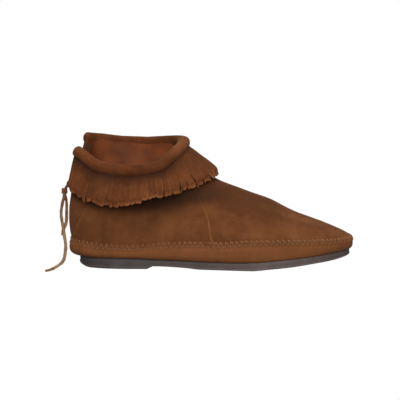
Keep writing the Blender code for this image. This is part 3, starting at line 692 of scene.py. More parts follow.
def nap_group():
    """Shared effect of brushed leather: cloudy tone, fine fibre tone and a height for bump."""
    group = bpy.data.node_groups.get("brushed_nap")
    if group:
        return group
    group = bpy.data.node_groups.new("brushed_nap", "ShaderNodeTree")
    face = group.interface
    face.new_socket("Vector", in_out="INPUT", socket_type="NodeSocketVector")
    face.new_socket("Fibre", in_out="INPUT", socket_type="NodeSocketFloat")
    for name in ("Cloud", "Patch", "Fine", "Height"):
        face.new_socket(name, in_out="OUTPUT", socket_type="NodeSocketFloat")
    inlet = group.nodes.new("NodeGroupInput")
    outlet = group.nodes.new("NodeGroupOutput")
    vector = inlet.outputs["Vector"]
    cloud = noise_node(group, vector, *NAP_CLOUD)
    patch = noise_node(group, vector, *NAP_PATCH)
    stretch = group.nodes.new("ShaderNodeVectorMath")
    stretch.operation = "MULTIPLY"
    stretch.inputs[1].default_value = NAP_LAY
    group.links.new(vector, stretch.inputs[0])
    fibre = noise_node(group, stretch.outputs[0], *NAP_FIBRE)
    fine = math_node(group, "MULTIPLY", fibre, inlet.outputs["Fibre"])
    height = math_node(group, "ADD", math_node(group, "MULTIPLY", patch, 0.8), fine)
    group.links.new(range_node(group, cloud, 0.33, 0.67), outlet.inputs["Cloud"])
    group.links.new(range_node(group, patch, 0.3, 0.7), outlet.inputs["Patch"])
    group.links.new(range_node(group, fibre, 0.25, 0.75), outlet.inputs["Fine"])
    group.links.new(height, outlet.inputs["Height"])
    return group


def nap_node(tree, fibre=1.0):
    """Place the brushed nap in a material."""
    node = tree.nodes.new("ShaderNodeGroup")
    node.node_tree = nap_group()
    node.inputs["Fibre"].default_value = fibre
    tree.links.new(object_vector(tree), node.inputs["Vector"])
    return node


def bump_to(tree, shader, height, strength, distance):
    """Bump from a height into the shader's normal."""
    bump = tree.nodes.new("ShaderNodeBump")
    bump.inputs["Strength"].default_value = strength
    bump.inputs["Distance"].default_value = distance
    tree.links.new(height, bump.inputs["Height"])
    tree.links.new(bump.outputs["Normal"], shader.inputs["Normal"])


def suede_material(colours):
    """Brown brushed suede: cloudy nap, paler rubbed edges with painted highlights, and painted shade under
    the fringe, under the roll and beside the seams.
    """
    material = bpy.data.materials.get("brown_suede")
    if material:
        return material
    material, tree, shader = new_material("brown_suede", 0.92, specular=0.12)
    nap = nap_node(tree, 1.0)
    tone = math_node(tree, "MULTIPLY", nap.outputs["Cloud"], 0.45)
    for value, amount in (
        (nap.outputs["Patch"], 0.35),
        (nap.outputs["Fine"], 0.2),
        (attribute_value(tree, "tone"), 0.6),
    ):
        tone = math_node(tree, "ADD", tone, math_node(tree, "MULTIPLY", value, amount))
    base = two_tone(tree, range_node(tree, tone, 0.0, 1.0), colours, "suede")
    # pale raw edges and wear, and painted highlights on the band and on the top of the roll
    edge = attribute_value(tree, "edge")
    wear_and_highlight = math_node(tree, "MULTIPLY", edge, range_node(tree, nap.outputs["Patch"], 0.0, 1.0, 0.6, 1.0))
    base = mix_node(tree, wear_and_highlight, base, tuple(colours.raw_edge_and_highlight))
    base = mix_node(tree, attribute_value(tree, "warm"), base, tuple(colours.warm), "MULTIPLY")
    # painted shade: the shade attribute mixes in a dark colour where shade falls
    shade = attribute_value(tree, "shade")
    base = mix_node(tree, shade, base, tuple(colours.suede_painted_shade))
    tree.links.new(base, shader.inputs["Base Color"])
    shader.inputs["Sheen Weight"].default_value = 0.15
    shader.inputs["Sheen Roughness"].default_value = 0.45
    shader.inputs["Sheen Tint"].default_value = (0.62, 0.36, 0.22, 1.0)
    bump_to(tree, shader, nap.outputs["Height"], 0.55, 0.00035)
    return material


def lining_material(colours):
    """Warm tan lining leather, smooth with a fine grain, painted paler towards the front as painted light."""
    material = bpy.data.materials.get("tan_lining")
    if material:
        return material
    material, tree, shader = new_material("tan_lining", 0.7, specular=0.25)
    nap = nap_node(tree, 0.5)
    # painted light: darker at the back of the boot and paler towards the front
    front = range_node(tree, object_axis(tree, "X"), 0.0, 0.07, -0.35, 0.45)
    tone = range_node(tree, math_node(tree, "ADD", nap.outputs["Cloud"], front), 0.0, 1.0)
    base = two_tone(tree, tone, colours, "lining")
    tree.links.new(base, shader.inputs["Base Color"])
    tree.links.new(range_node(tree, nap.outputs["Patch"], 0, 1, 0.62, 0.82), shader.inputs["Roughness"])
    bump_to(tree, shader, nap.outputs["Height"], 0.25, 0.00025)
    return material


def rubber_material(colours):
    """Dark moulded rubber with a paler scuffed lower edge."""
    material, tree, shader = new_material("sole_rubber", 0.6, specular=0.4)
    vector = object_vector(tree)
    cloud = noise_node(tree, vector, 60.0, 4.0)
    grain = noise_node(tree, vector, 1300.0, 2.0)
    base = two_tone(tree, range_node(tree, cloud, 0.35, 0.65), colours, "rubber")
    patchy = range_node(tree, cloud, 0.3, 0.7, 0.45, 1.0)
    scuff = math_node(tree, "MULTIPLY", attribute_value(tree, "edge"), patchy)
    base = mix_node(tree, scuff, base, tuple(colours.rubber_scuff))
    tree.links.new(base, shader.inputs["Base Color"])
    tree.links.new(range_node(tree, cloud, 0.3, 0.7, 0.52, 0.7), shader.inputs["Roughness"])
    bump_to(tree, shader, grain, 0.3, 0.0002)
    return material


def thread_material(colours):
    """Tan waxed thread with a twist."""
    material, tree, shader = new_material("tan_thread", 0.8, specular=0.2)
    fine = noise_node(tree, object_vector(tree), 900.0, 2.0)
    base = two_tone(tree, fine, colours, "thread")
    tree.links.new(base, shader.inputs["Base Color"])
    bump_to(tree, shader, fine, 0.5, 0.0002)
    return material


def thong_material(colours):
    """Olive tan thong leather, browner near the knot."""
    material = bpy.data.materials.get("thong_leather_look")
    if material:
        return material
    material, tree, shader = new_material("thong_leather_look", 0.82, specular=0.2)
    nap = nap_node(tree, 1.0)
    base = two_tone(tree, nap.outputs["Patch"], colours, "thong")
    upper_part = range_node(tree, object_axis(tree, "Z"), 0.040, 0.060, 0.0, 0.8)
    base = mix_node(tree, upper_part, base, tuple(colours.thong_brown))
    tree.links.new(base, shader.inputs["Base Color"])
    bump_to(tree, shader, nap.outputs["Height"], 0.6, 0.0003)
    return material


def tape_material(colours):
    """Woven zip tape."""
    material, tree, shader = new_material("zip_tape_weave", 0.88, specular=0.2)
    vector = object_vector(tree)
    wave = tree.nodes.new("ShaderNodeTexWave")
    wave.bands_direction = "Z"
    wave.inputs["Scale"].default_value = 420.0
    wave.inputs["Distortion"].default_value = 0.6
    tree.links.new(vector, wave.inputs["Vector"])
    base = two_tone(tree, wave.outputs["Fac"], colours, "tape")
    tree.links.new(base, shader.inputs["Base Color"])
    bump_to(tree, shader, wave.outputs["Fac"], 0.5, 0.0002)
    return material


def metal_material(colours):
    """Darkened zip metal, bright where it is rubbed."""
    material = bpy.data.materials.get("zip_metal_look")
    if material:
        return material
    material, tree, shader = new_material("zip_metal_look", 0.42, metallic=1.0, specular=0.5)
    cloud = noise_node(tree, object_vector(tree), 500.0, 4.0)
    base = two_tone(tree, range_node(tree, cloud, 0.4, 0.65), colours, "metal")
    tree.links.new(base, shader.inputs["Base Color"])
    tree.links.new(range_node(tree, cloud, 0.3, 0.7, 0.3, 0.6), shader.inputs["Roughness"])
    return material


# Property groups


def length_prop(name, text, default, low, high):
    """Size in metres."""
    return bpy.props.FloatProperty(name=name, description=text, default=default, min=low, max=high,
                                   precision=5, unit="LENGTH")


def colour_prop(name, text, default):
    """Colour of a finish."""
    return bpy.props.FloatVectorProperty(name=name, description=text, default=default, size=3,
                                         min=0.0, max=1.0, subtype="COLOR")


class BootSizes(bpy.types.PropertyGroup):
    """Fine sizes of the boot's leather work."""
    lap: length_prop("Lap", "Step of a lapped panel edge", 0.0007, 0.0, 0.002)
    stitch_pitch: length_prop("Stitch pitch", "Way along the seam from stitch to stitch", 0.0047, 0.003, 0.01)
    stitch_reach: length_prop("Stitch reach", "How far a stitch reaches from the seam", 0.0034, 0.001, 0.008)
    thread: length_prop("Thread", "Thickness of the thread", 0.00088, 0.0003, 0.002)
    pucker: length_prop("Pucker", "Height of the gathers at the seam", 0.00045, 0.0, 0.001)
    unevenness: length_prop("Unevenness", "Soft waves of the leather", 0.0005, 0.0, 0.002)
    strip: length_prop("Strip", "Width of a narrow fringe strip", 0.0036, 0.002, 0.01)
    strip_front: length_prop("Front strip", "Width of a strip at the instep", 0.0052, 0.002, 0.012)
    fringe_leather: length_prop("Fringe leather", "Thickness of the fringe", 0.0011, 0.0005, 0.002)


class BootColours(bpy.types.PropertyGroup):
    """Colours of the boot's finishes."""
    suede_dark: colour_prop("Suede dark", "Nap brushed down", (0.105, 0.034, 0.0105))
    suede_light: colour_prop("Suede light", "Nap brushed up", (0.215, 0.076, 0.025))
    # colour of the painted shade
    suede_painted_shade: colour_prop("Suede deep", "Suede that never sees light", (0.034, 0.0125, 0.006))
    # also the colour of the painted highlights on the band and on the top of the roll
    raw_edge_and_highlight: colour_prop("Raw edge", "Cut or rubbed suede edge", (0.36, 0.140, 0.050))
    lining_dark: colour_prop("Lining dark", "Tan lining, dark", (0.125, 0.029, 0.006))
    lining_light: colour_prop("Lining light", "Tan lining, light", (0.255, 0.067, 0.015))
    warm: colour_prop("Warm", "Tint of the collar and the fringe", (0.76, 0.60, 0.52))
    rubber_dark: colour_prop("Rubber dark", "Sole rubber, dark", (0.058, 0.049, 0.046))
    rubber_light: colour_prop("Rubber light", "Sole rubber, light", (0.092, 0.076, 0.072))
    rubber_scuff: colour_prop("Rubber scuff", "Scuffed sole edge", (0.19, 0.137, 0.128))
    thread_dark: colour_prop("Thread dark", "Thread, dark", (0.175, 0.068, 0.026))
    thread_light: colour_prop("Thread light", "Thread, light", (0.335, 0.15, 0.064))
    thong_dark: colour_prop("Thong dark", "Thong leather, dark", (0.185, 0.098, 0.044))
    thong_brown: colour_prop("Thong brown", "Thong leather near the knot", (0.20, 0.075, 0.032))
    thong_light: colour_prop("Thong light", "Thong leather, light", (0.42, 0.25, 0.125))
    tape_dark: colour_prop("Tape dark", "Zip tape, dark", (0.085, 0.033, 0.014))
    tape_light: colour_prop("Tape light", "Zip tape, light", (0.15, 0.06, 0.026))
    metal_dark: colour_prop("Metal dark", "Tarnished metal", (0.07, 0.055, 0.045))
    metal_light: colour_prop("Metal light", "Rubbed metal", (0.33, 0.27, 0.2))


# Sole


STATION_COUNT = 132
SOLE_EDGE = 0.0011         # radius of the outsole's lower edge
SOCK_EDGE = 0.0008         # rounding of the sock's upper edge, and where it starts
SOCK_SIDE = 0.7

# Side of the outsole: inset in metres, share of the height
SOLE_SIDE = ((0.0, 0.26), (0.0, 0.30), (0.00045, 0.34), (0.00035, 0.60), (0.0002, 0.9), (0.0005, 1.0))

# Wear of the outsole from heel to forepart: rows, amount at the heel and at the forepart
SOLE_WEAR = ((4, 9, 0.35, 1.0), (9, 14, 0.05, 0.5))


def ring_angles(count):
    """Angles round the foot, closed, with the same stations on both sides."""
    half = np.linspace(0, pi, count + 1)
    return np.concatenate([half, 2 * pi - half[-2::-1]])


def level_rows(rows):
    """Array of points from rows of (inset, across, height function)."""
    angles = ring_angles(STATION_COUNT)
    station = place_along(angles)
    columns = []
    for inset, across, height in rows:
        points = sole_points(angles, inset, across)
        points[:, 2] = height(station)
        columns.append(points)
    return np.stack(columns, axis=1)


class BOOT_OT_outsole(bpy.types.Operator):
    """Moulded rubber outsole with its low heel and rounded lower edge"""
    bl_idname = "boot.outsole"
    bl_label = "Outsole"

    def execute(self, context):
        def under(lift):
            return lambda station: sole_level(station, False) + lift

        def side(share):
            def height(station):
                low = sole_level(station, False)
                return low + (sole_level(station, True) - low) * share
            return height

        rows = [(SOLE_EDGE, across, under(0.0)) for across in (0.0, 0.3, 0.6, 0.85, 1.0)]
        for turn in (radians(30), radians(60), radians(90)):
            rows.append((SOLE_EDGE * (1 - sin(turn)), 1.0, under(SOLE_EDGE * (1 - cos(turn)))))
        rows += [(inset, 1.0, side(share)) for inset, share in SOLE_SIDE]
        rows += [(SOLE_SIDE[-1][0], across, side(1.0)) for across in (0.6, 0.0)]
        points = level_rows(rows)
        fore = ease((points[:, 0, 0] - 0.02) / 0.1)
        mask = np.zeros(points.shape[:2])
        for first, end, heel, forepart in SOLE_WEAR:
            mask[:, first:end] = (heel + (forepart - heel) * fore)[:, None]
        bm = bent_sheet(points, masks={"edge": mask})
        rubber = rubber_material(context.scene.boot_colours)
        finish_piece("outsole_look", bm, [rubber], ("outsole",))
        return {"FINISHED"}


class BOOT_OT_insole(bpy.types.Operator):
    """Sock of tan leather over the board in the band"""
    bl_idname = "boot.insole"
    bl_label = "Insole"

    def execute(self, context):
        inset = WALL + 2 * GAP

        def level(lift):
            return lambda station: sole_level(station, True) + inset + lift

        rows = [(inset, across, level(0.0)) for across in (0.0, 0.5, 1.0)]
        rows.append((inset, 1.0, level(INSOLE_THICKNESS * SOCK_SIDE)))
        rows += [(inset + SOCK_EDGE, across, level(INSOLE_THICKNESS)) for across in (1.0, 0.8, 0.5, 0.0)]
        bm = bent_sheet(level_rows(rows))
        lining = lining_material(context.scene.boot_colours)
        finish_piece("insole_look", bm, [lining], ("insole",))
        return {"FINISHED"}


# Moccasin band


BAND_ROWS = 26
BOTTOM_PLACES = (0.0, 0.55)      # rows under the foot, from the middle line outwards
SIDE_ROW = -8              # row of the band that says which way is out
BAND_GROOVE = 0.0028       # way from the seam to the groove below it
BAND_WAVES = (0.016, 3)    # size and seed of the soft waves
BAND_HIGHLIGHT_TONE = 0.62           # the band is painted paler than the upper, a painted highlight of the light on its bulge
BAND_HIGHLIGHT_PALE = 0.07           # share of pale edge colour all over, a painted highlight, and of worn nap on the edge at the seam
BAND_EDGE = 0.42
BOTTOM_SHADE = 0.4         # painted shade at the outsole, and beside the seam
BAND_SHADE = 0.15


def band_points(angles, turns, inset):
    """Points of the band's section, turns 0 at the sole and 1 at the seam."""
    station = place_along(angles)[:, None]
    floor = sole_level(station, True) + GAP
    section = section_at(turns)[None, :, :]
    rise = section[..., 0]
    spread = section[..., 1]
    edge = sole_points(angles, inset, 1.0)[:, None, :]
    seam = seam_points(angles, inset)[:, None, :]
    points = edge + (seam - edge) * (spread / BAND_SECTION[-1][2])[..., None]
    points[..., 2] = np.maximum(floor + inset, floor + (seam[..., 2] - GAP / 2 - floor) * rise)
    return points


class BOOT_OT_band(bpy.types.Operator):
    """Lower suede band, bulging over the sole and gathered at the stitched seam"""
    bl_idname = "boot.band"
    bl_label = "Moccasin band"

    def execute(self, context):
        sizes = context.scene.boot_sizes
        colours = context.scene.boot_colours
        angles = ring_angles(2 * STATION_COUNT)
        turns = np.linspace(0, 1, BAND_ROWS + 1)
        floor = sole_level(place_along(angles), True) + GAP

        def with_bottom(inset, wall):
            rows = []
            for across in BOTTOM_PLACES:
                points = sole_points(angles, inset, across)
                points[:, 2] = floor + inset
                rows.append(points[:, None, :])
            return np.concatenate(rows + [wall], axis=1)

        wall = band_points(angles, turns, 0.0)
        along = np.gradient(wall[:, SIDE_ROW], axis=0)
        across = unit(np.stack([along[:, 1], -along[:, 0], 0 * angles], axis=-1))[:, None, :]
        below = (wall[:, -1:, 2] - wall[..., 2])
        push = seam_relief(angles[:, None], below, BAND_GROOVE, sizes)
        push = push + sizes.unevenness * soft_noise(wall, *BAND_WAVES) * ease(turns * 3)[None, :]
        push = push * ease(turns * 4)[None, :]      # nothing moves beside the outsole
        wall = wall + across * push[..., None]
        inner = band_points(angles, turns, WALL)
        bottom = len(BOTTOM_PLACES)
        masks = {name: np.zeros((len(angles), bottom + BAND_ROWS + 1))
                 for name in ("edge", "shade", "tone")}
        # painted highlight: the whole band is painted paler
        masks["edge"][:, bottom:] = BAND_HIGHLIGHT_PALE
        masks["edge"][:, -1] = BAND_EDGE
        # painted shade beside the seam and where the band meets the outsole
        masks["shade"][:, -2] = BAND_SHADE
        masks["shade"][:, :bottom + 3] = BOTTOM_SHADE
        masks["tone"][:, bottom:] = BAND_HIGHLIGHT_TONE
        bm = walled_sheet(with_bottom(0.0, wall), with_bottom(WALL, inner), masks=masks)
        materials = [suede_material(colours), lining_material(colours)]
        finish_piece("moccasin_tray_look", bm, materials, ("moccasin_tray",))
        return {"FINISHED"}


# Upper


# Columns of the upper from the heel's middle to the toe, at each mark of panel_marks
PANEL_COLUMNS = (0, 2, 16, 18, 20, 66, 68, 70, 128)
UPPER_HALF = PANEL_COLUMNS[-1]
UPPER_ROWS = 96
SLOT_BOTTOM = 2 / 17       # share of the rows below the zip slot
SEAM_STEP = 0.005
TUCK = 0.0005
ROW_CROWDING = 0.6         # how much closer the rows lie at the seam of the low toe
LAP_COLUMNS = (10, 12)     # columns over which the heel panel's and the quarter's edges rise
LAP_FADE = (0.72, 0.2)     # share of the rows where the step starts to fade, and over how many
RELIEF_FADE = (0.80, 0.12)       # the same for waves and folds
WALL_TURN = 10             # rows over which the wall turns from level to square to the leather
UPPER_GROOVE = 0.0030      # way from the seam to the groove above it
UPPER_WAVES = (0.022, 1)   # size and seed of the soft waves
RAW_EDGE = (0.55, 0.30)    # wear of a raw edge, and how much it varies
LOW_EDGE = 0.25            # wear of the edge at the seam
SEAM_SHADE = (0.15, 0.0012)      # painted shade at the seam, and its reach
FRINGE_SHADOW = 0.0092     # reach of the painted shadow below the fringe's tips
SHADOW_DEPTH = 0.92        # its depth, how much the instep loses of it and between which angles
SHADOW_FADE = (0.65, 105, 45)
FAR_SHADOW = (190, 0.6)    # angle from which the inner side has a share of it
HEEL_SPAN = 0.045          # about the distance from the heel's edge to its centre of curve
SEARCH_STEP = 0.01
SEARCH_ROUNDS = 8


def heel_angles(height, side):
    """Angles at which the outline has these side distances near the heel."""
    angle = -np.asarray(side) / HEEL_SPAN
    for _ in range(SEARCH_ROUNDS):
        here = last_points(height, angle)[..., 1]
        ahead = last_points(height, angle + SEARCH_STEP)[..., 1]
        angle = angle - (here - side) * SEARCH_STEP / (ahead - here)
    return angle


def mouth_half(height, outer_side):
    """Side distance of the slot's edge from the heel's middle."""
    mouth = MOUTH_OUTER if outer_side else MOUTH_INNER
    rim = collar_line_at(0)[0 if outer_side else 1]
    share = np.clip((height - ZIP_PARTS) / (rim - ZIP_PARTS), 0.0, 1.0)
    return SLOT_HALF + (mouth - SLOT_HALF) * share


def panel_marks(height, outer_side):
    """Angles of the slot's edge and panel seams, from the heel's middle."""
    half = mouth_half(height, outer_side)
    slot = np.abs(heel_angles(height, -half if outer_side else half))
    heel = np.radians(heel_seam_at(height)[..., 0])
    line = profile_at(height)
    along = (side_seam_at(height)[..., 0] - line[..., 0]) / (line[..., 1] - line[..., 0])
    side = np.arccos(1 - 2 * along)
    heel = np.maximum(heel, slot + 5 * SEAM_STEP)
    wide = 3 * SEAM_STEP
    marks = (0 * heel, slot, heel - wide, heel - SEAM_STEP, heel + SEAM_STEP, side - wide,
             side - SEAM_STEP, side + SEAM_STEP, 0 * heel + pi)
    return np.stack(marks, axis=-1)


def column_angles(height):
    """Angle of each point of the upper from an array of heights, columns by rows."""
    columns = np.arange(2 * UPPER_HALF + 1)
    outer_side = columns <= UPPER_HALF
    place = np.where(outer_side, columns, 2 * UPPER_HALF - columns)
    part = np.searchsorted(PANEL_COLUMNS, place, side="right") - 1
    part = np.minimum(part, len(PANEL_COLUMNS) - 2)
    starts = np.array(PANEL_COLUMNS)
    share = ((place - starts[part]) / (starts[part + 1] - starts[part]))[:, None]
    angles = np.zeros_like(height)
    for side in (True, False):
        marks = panel_marks(height[outer_side == side], side)
        index = part[outer_side == side][:, None, None]
        index = np.broadcast_to(index, (*marks.shape[:2], 1))
        low = np.take_along_axis(marks, index, axis=-1)[..., 0]
        high = np.take_along_axis(marks, index + 1, axis=-1)[..., 0]
        portion = share[outer_side == side]
        angles[outer_side == side] = low * (1 - portion) + high * portion
    angles[~outer_side] = 2 * pi - angles[~outer_side]
    return angles


def collar_heights(angle):
    """Height share of the rolled collar's middle."""
    turn = np.degrees(np.mod(angle, 2 * pi))
    line = collar_line_at(np.minimum(turn, 360 - turn))
    return np.where(turn <= 180, line[..., 0], line[..., 1])


def upper_grid():
    """Height shares and angles of the upper's points."""
    columns = 2 * UPPER_HALF + 1
    low_angle = column_angles(np.full((columns, 1), SEAM[0][1]))
    bottom = seam_at(place_along(low_angle))[..., 0] + GAP / 2 / RISE
    top = collar_heights(column_angles(np.ones((columns, 1)))) + TUCK / RISE
    crowding = 1 + ROW_CROWDING * ease(place_along(low_angle))
    rows = np.linspace(0, 1, UPPER_ROWS + 1)[None, :]
    height = bottom + (top - bottom) * rows ** crowding
    return height, column_angles(height)


def lap_profile(columns, rows):
    """Step of the lapped edges, and how near a point is to a raw edge."""
    place = np.minimum(columns, 2 * UPPER_HALF - columns)
    heel_edge = PANEL_COLUMNS[3]
    side_edge = PANEL_COLUMNS[6]
    heel_rise, side_rise = LAP_COLUMNS
    fade = 1 - ease((rows - LAP_FADE[0]) / LAP_FADE[1])
    heel = np.where(place <= heel_edge, ease((place - heel_edge + heel_rise) / heel_rise), 0)
    on_quarter = (place > PANEL_COLUMNS[4]) & (place <= side_edge)
    side = np.where(on_quarter, ease((place - side_edge + side_rise) / side_rise), 0)
    near = np.isin(place, (heel_edge, heel_edge + 1, side_edge, side_edge + 1))
    return (heel + side) * fade, near * 1.0


class BOOT_OT_upper(bpy.types.Operator):
    """Vamp, quarters and heel panels with lapped raw edges, soft folds and gathers"""
    bl_idname = "boot.upper"
    bl_label = "Upper"

    def execute(self, context):
        sizes = context.scene.boot_sizes
        colours = context.scene.boot_colours
        height, angle = upper_grid()
        columns = np.arange(height.shape[0])[:, None] + 0 * height
        rows = np.linspace(0, 1, UPPER_ROWS + 1)[None, :] + 0 * height
        base = last_points(height, angle)
        straight = surface_outward(height, angle)
        level = level_outward(height, angle)
        lap, raw = lap_profile(columns, rows)
        seam = seam_points(angle)
        above = np.linalg.norm(base - seam, axis=-1)
        open_part = 1 - ease((rows - RELIEF_FADE[0]) / RELIEF_FADE[1])
        waves = sizes.unevenness * soft_noise(base, *UPPER_WAVES) - crease_depth(base)
        push = sizes.lap * lap + seam_relief(angle, above, UPPER_GROOVE, sizes) + waves * open_part
        outer = base + straight * push[..., None]
        share = np.minimum(rows * UPPER_ROWS / WALL_TURN, 1.0)[..., None]
        inward = unit(level * (1 - share) + straight * share)
        inner = base - inward * WALL
        inner[..., 2] = np.maximum(inner[..., 2], base[:, :1, 2])
        edge = raw * (RAW_EDGE[0] + RAW_EDGE[1] * soft_noise(base, 0.010, 9)) * open_part
        edge[:, 0] = LOW_EDGE
        # painted shade beside the seam and painted shadow below the fringe
        shade = SEAM_SHADE[0] * hump(above, 0, SEAM_SHADE[1]) + self.fringe_shadow(base, angle)
        shade = np.clip(shade, 0, 1)
        keep = np.ones((height.shape[0] - 1, UPPER_ROWS), dtype=bool)
        slot_row = round(SLOT_BOTTOM * UPPER_ROWS)
        slot = PANEL_COLUMNS[1]
        keep[:slot, slot_row:] = False
        keep[-slot:, slot_row:] = False
        masks = {"edge": edge, "shade": shade, "tone": tone_and_light_patches(base)}
        bm = walled_sheet(outer, inner, keep, masks)
        materials = [suede_material(colours), lining_material(colours)]
        finish_piece("upper_look", bm, materials, ("upper",))
        return {"FINISHED"}

    def fringe_shadow(self, base, angle):
        """Painted shadow of the fringe on the upper, deepest on the quarter."""
        tips, _, _ = fringe_frame(angle, np.ones_like(angle)[..., None], 1.0)
        hang = np.maximum(tips[..., 2] - base[..., 2], 0) / FRINGE_SHADOW
        degree = np.degrees(angle)
        loss, start, span = SHADOW_FADE
        near = 1 - loss * ease((degree - start) / span)
        return SHADOW_DEPTH * np.exp(-hang ** 3) * np.where(degree > FAR_SHADOW[0], FAR_SHADOW[1], near)


# Collar and fringe


ROLL_OFFSET = 0.0003
ROLL_COLUMNS = 320
ROLL_ROWS = 44
ROLL_END_LENGTH = 0.0026   # over which the ends round off
ROLL_TUCK = (-100, 16)     # direction and half width in degrees of the crease below the roll
TUCK_DEPTH = 0.0011
# painted shade in the crease below the roll
TUCK_SHADE = 0.75
TUCK_FADES = (0.8, 162, 22)      # share that the crease loses at the instep, middle and half width
ROLL_SWELLS = ((0.045, 0.011, 0.0), (0.03, 0.0046, 1.3))     # share, way and start of the dents
SWELL_TURN = 0.7           # direction of the dents round the roll
ROLL_FULL = (0.22, 164, 24)      # share by which the roll is fuller at the instep
ROLL_SLIM = (0.50, 190, 30)      # share by which it is slimmer inside, from where, over what
ROLL_ROUGH = 0.6           # share of the leather's unevenness on the roll
RUBBED = (158, 26)         # middle and half width of the rubbed part at the instep
RUBBED_HEEL = (0.25, 60)   # rubbing beside the zip, and up to which angle
ROLL_TONE = (-0.22, 0.65, 0.25)  # tone, how much paler where rubbed, how cloudy
ROLL_WARM = (0.75, 0.5)    # warm tint, and how much less where rubbed
END_WEAR = 0.22            # worn nap on the rounded ends
TOP_HIGHLIGHT = (0.10, radians(120), 0.5)     # painted highlight on the top of the roll: share, direction, half width


def collar_points(angle):
    """Middle of the rolled collar."""
    height = collar_heights(angle)
    return last_points(height, angle) + level_outward(height, angle) * ROLL_OFFSET


def collar_ends():
    """Angles at the two sides of the zip's mouth."""
    outer, inner = collar_line_at(0)
    return float(heel_angles(outer, -MOUTH_OUTER)), 2 * pi + float(heel_angles(inner, MOUTH_INNER))


def collar_travel():
    """Angles along the collar and the way to each."""
    first, last = collar_ends()
    angles = np.linspace(first, last, 1201)
    steps = np.linalg.norm(np.diff(collar_points(angles), axis=0), axis=-1)
    return angles, np.concatenate(([0.0], np.cumsum(steps)))


class BOOT_OT_collar(bpy.types.Operator):
    """Leather rolled over the top edge, with soft dents and rounded ends"""
    bl_idname = "boot.collar"
    bl_label = "Rolled collar"

    def execute(self, context):
        sizes = context.scene.boot_sizes
        colours = context.scene.boot_colours
        angles, travel = collar_travel()
        ways = np.linspace(0, travel[-1], ROLL_COLUMNS + 1)
        turn_at = np.interp(ways, travel, angles)
        middle = collar_points(turn_at)
        along = unit(collar_points(turn_at + 0.01) - collar_points(turn_at - 0.01))
        outward = level_outward(collar_heights(turn_at), turn_at)
        upward = unit(np.cross(outward, along))
        upward = upward * np.sign(upward[:, 2:3])
        turns = np.radians(np.linspace(-180, 180, ROLL_ROWS + 1))
        from_end = np.minimum(ways, travel[-1] - ways)
        short = np.clip(1 - from_end / ROLL_END_LENGTH, 0, 1)
        plump = np.sqrt(np.maximum(1 - short ** 3, 0.0004))
        squeeze = sum(share * np.sin(ways / way + start) for share, way, start in ROLL_SWELLS)
        degree = np.degrees(turn_at)
        fuller = ROLL_FULL[0] * hump(degree, *ROLL_FULL[1:])
        slimmer = ROLL_SLIM[0] * ease((degree - ROLL_SLIM[1]) / ROLL_SLIM[2])
        level = np.where(np.cos(turns)[None, :] < 0, (1 - slimmer + fuller)[:, None], 1.0)
        level = (level * np.cos(turns)[None, :])[..., None]
        ring = level * outward[:, None, :] + np.sin(turns)[None, :, None] * upward[:, None, :]

        def at(radius):
            return middle[:, None, :] + ring * radius[..., None]

        flat = np.full((len(ways), len(turns)), ROLL_RADIUS)
        rough = soft_noise(at(flat), 0.007, 5) * 0.5 + soft_noise(at(flat), 0.0035, 6) * 0.25
        rough[:, -1] = rough[:, 0]
        tuck, spread = np.radians(ROLL_TUCK)
        shallow = 1 - TUCK_FADES[0] * hump(degree, *TUCK_FADES[1:])[:, None]
        groove = shallow * hump(turns, tuck, spread)[None, :]
        radius = flat * (1 + squeeze[:, None] * np.cos(turns - SWELL_TURN)[None, :])
        radius = radius + sizes.unevenness * ROLL_ROUGH * rough
        radius = (radius - TUCK_DEPTH * groove) * plump[:, None]
        # wear on the rounded ends, painted highlight on the top of the roll
        edge = END_WEAR * short[:, None] + TOP_HIGHLIGHT[0] * hump(turns, *TOP_HIGHLIGHT[1:])[None, :]
        rubbed = hump(degree, *RUBBED) + RUBBED_HEEL[0] * (degree < RUBBED_HEEL[1])
        plain, paler, cloudy = ROLL_TONE
        tone = cloudy * soft_noise(at(flat), 0.013, 12) + plain + paler * rubbed[:, None]
        warm = ROLL_WARM[0] - ROLL_WARM[1] * rubbed[:, None] + 0 * tone
        columns = at(radius)
        first = np.broadcast_to(columns[0].mean(axis=0), columns[:1].shape)
        last = np.broadcast_to(columns[-1].mean(axis=0), columns[:1].shape)
        columns = np.concatenate([first, columns, last])
        # shade is painted shade in the crease below the roll
        masks = {"edge": edge, "shade": TUCK_SHADE * groove, "tone": tone, "warm": warm}
        masks = {name: np.concatenate([mask[:1], mask, mask[-1:]]) for name, mask in masks.items()}
        bm = bent_sheet(columns, masks=masks)
        finish_piece("rolled_collar_look", bm, [suede_material(colours)], ("rolled_collar",))
        return {"FINISHED"}


FRINGE_TOP = 0.0008
FRINGE_LEAVES = -0.0021
FRINGE_ROWS = 30
HUG_ROWS = 3
STRIP_PLACES = (0.0, 0.10, 0.37, 0.63, 0.90, 1.0)
STRIP_CELLS = len(STRIP_PLACES) - 1

# Wide cuts of the fringe: angle in degrees, width at the tips, share where the cut starts, and
# how far it leans forward on its way down
WIDE_CUTS = (
    (72, 0.0006, 0.80, 0.0),
    (98, 0.0003, 0.80, 0.0),
    (111, 0.0005, 0.78, 0.0),
    (129, 0.0010, 0.66, 0.0),
    (137, 0.0018, 0.76, 0.0008),
    (144, 0.0030, 0.44, 0.0030),
    (156, 0.0018, 0.76, 0.0012),
    (166, 0.0007, 0.84, 0.0004),
    (185, 0.0012, 0.66, 0.0),
    (203, 0.0026, 0.45, 0.0),
    (224, 0.0016, 0.60, 0.0),
)
FRONT_LEAF = (120, 200)    # angles between which the ordinary slits are short
WIDER_STRIPS = (172, 50)   # angle of the widest strips, and over which they narrow again
FRINGE_CLEAR = 1.5 * GAP + 0.0006        # middle of the leather outside the shaft's face
FRINGE_BEND = (0.5, 0.5, 0.45)   # where the fall bends, as shares of its reach
LEAST_SLIT = 0.00004       # width at which a slit starts
CELL_GAP = 0.00001
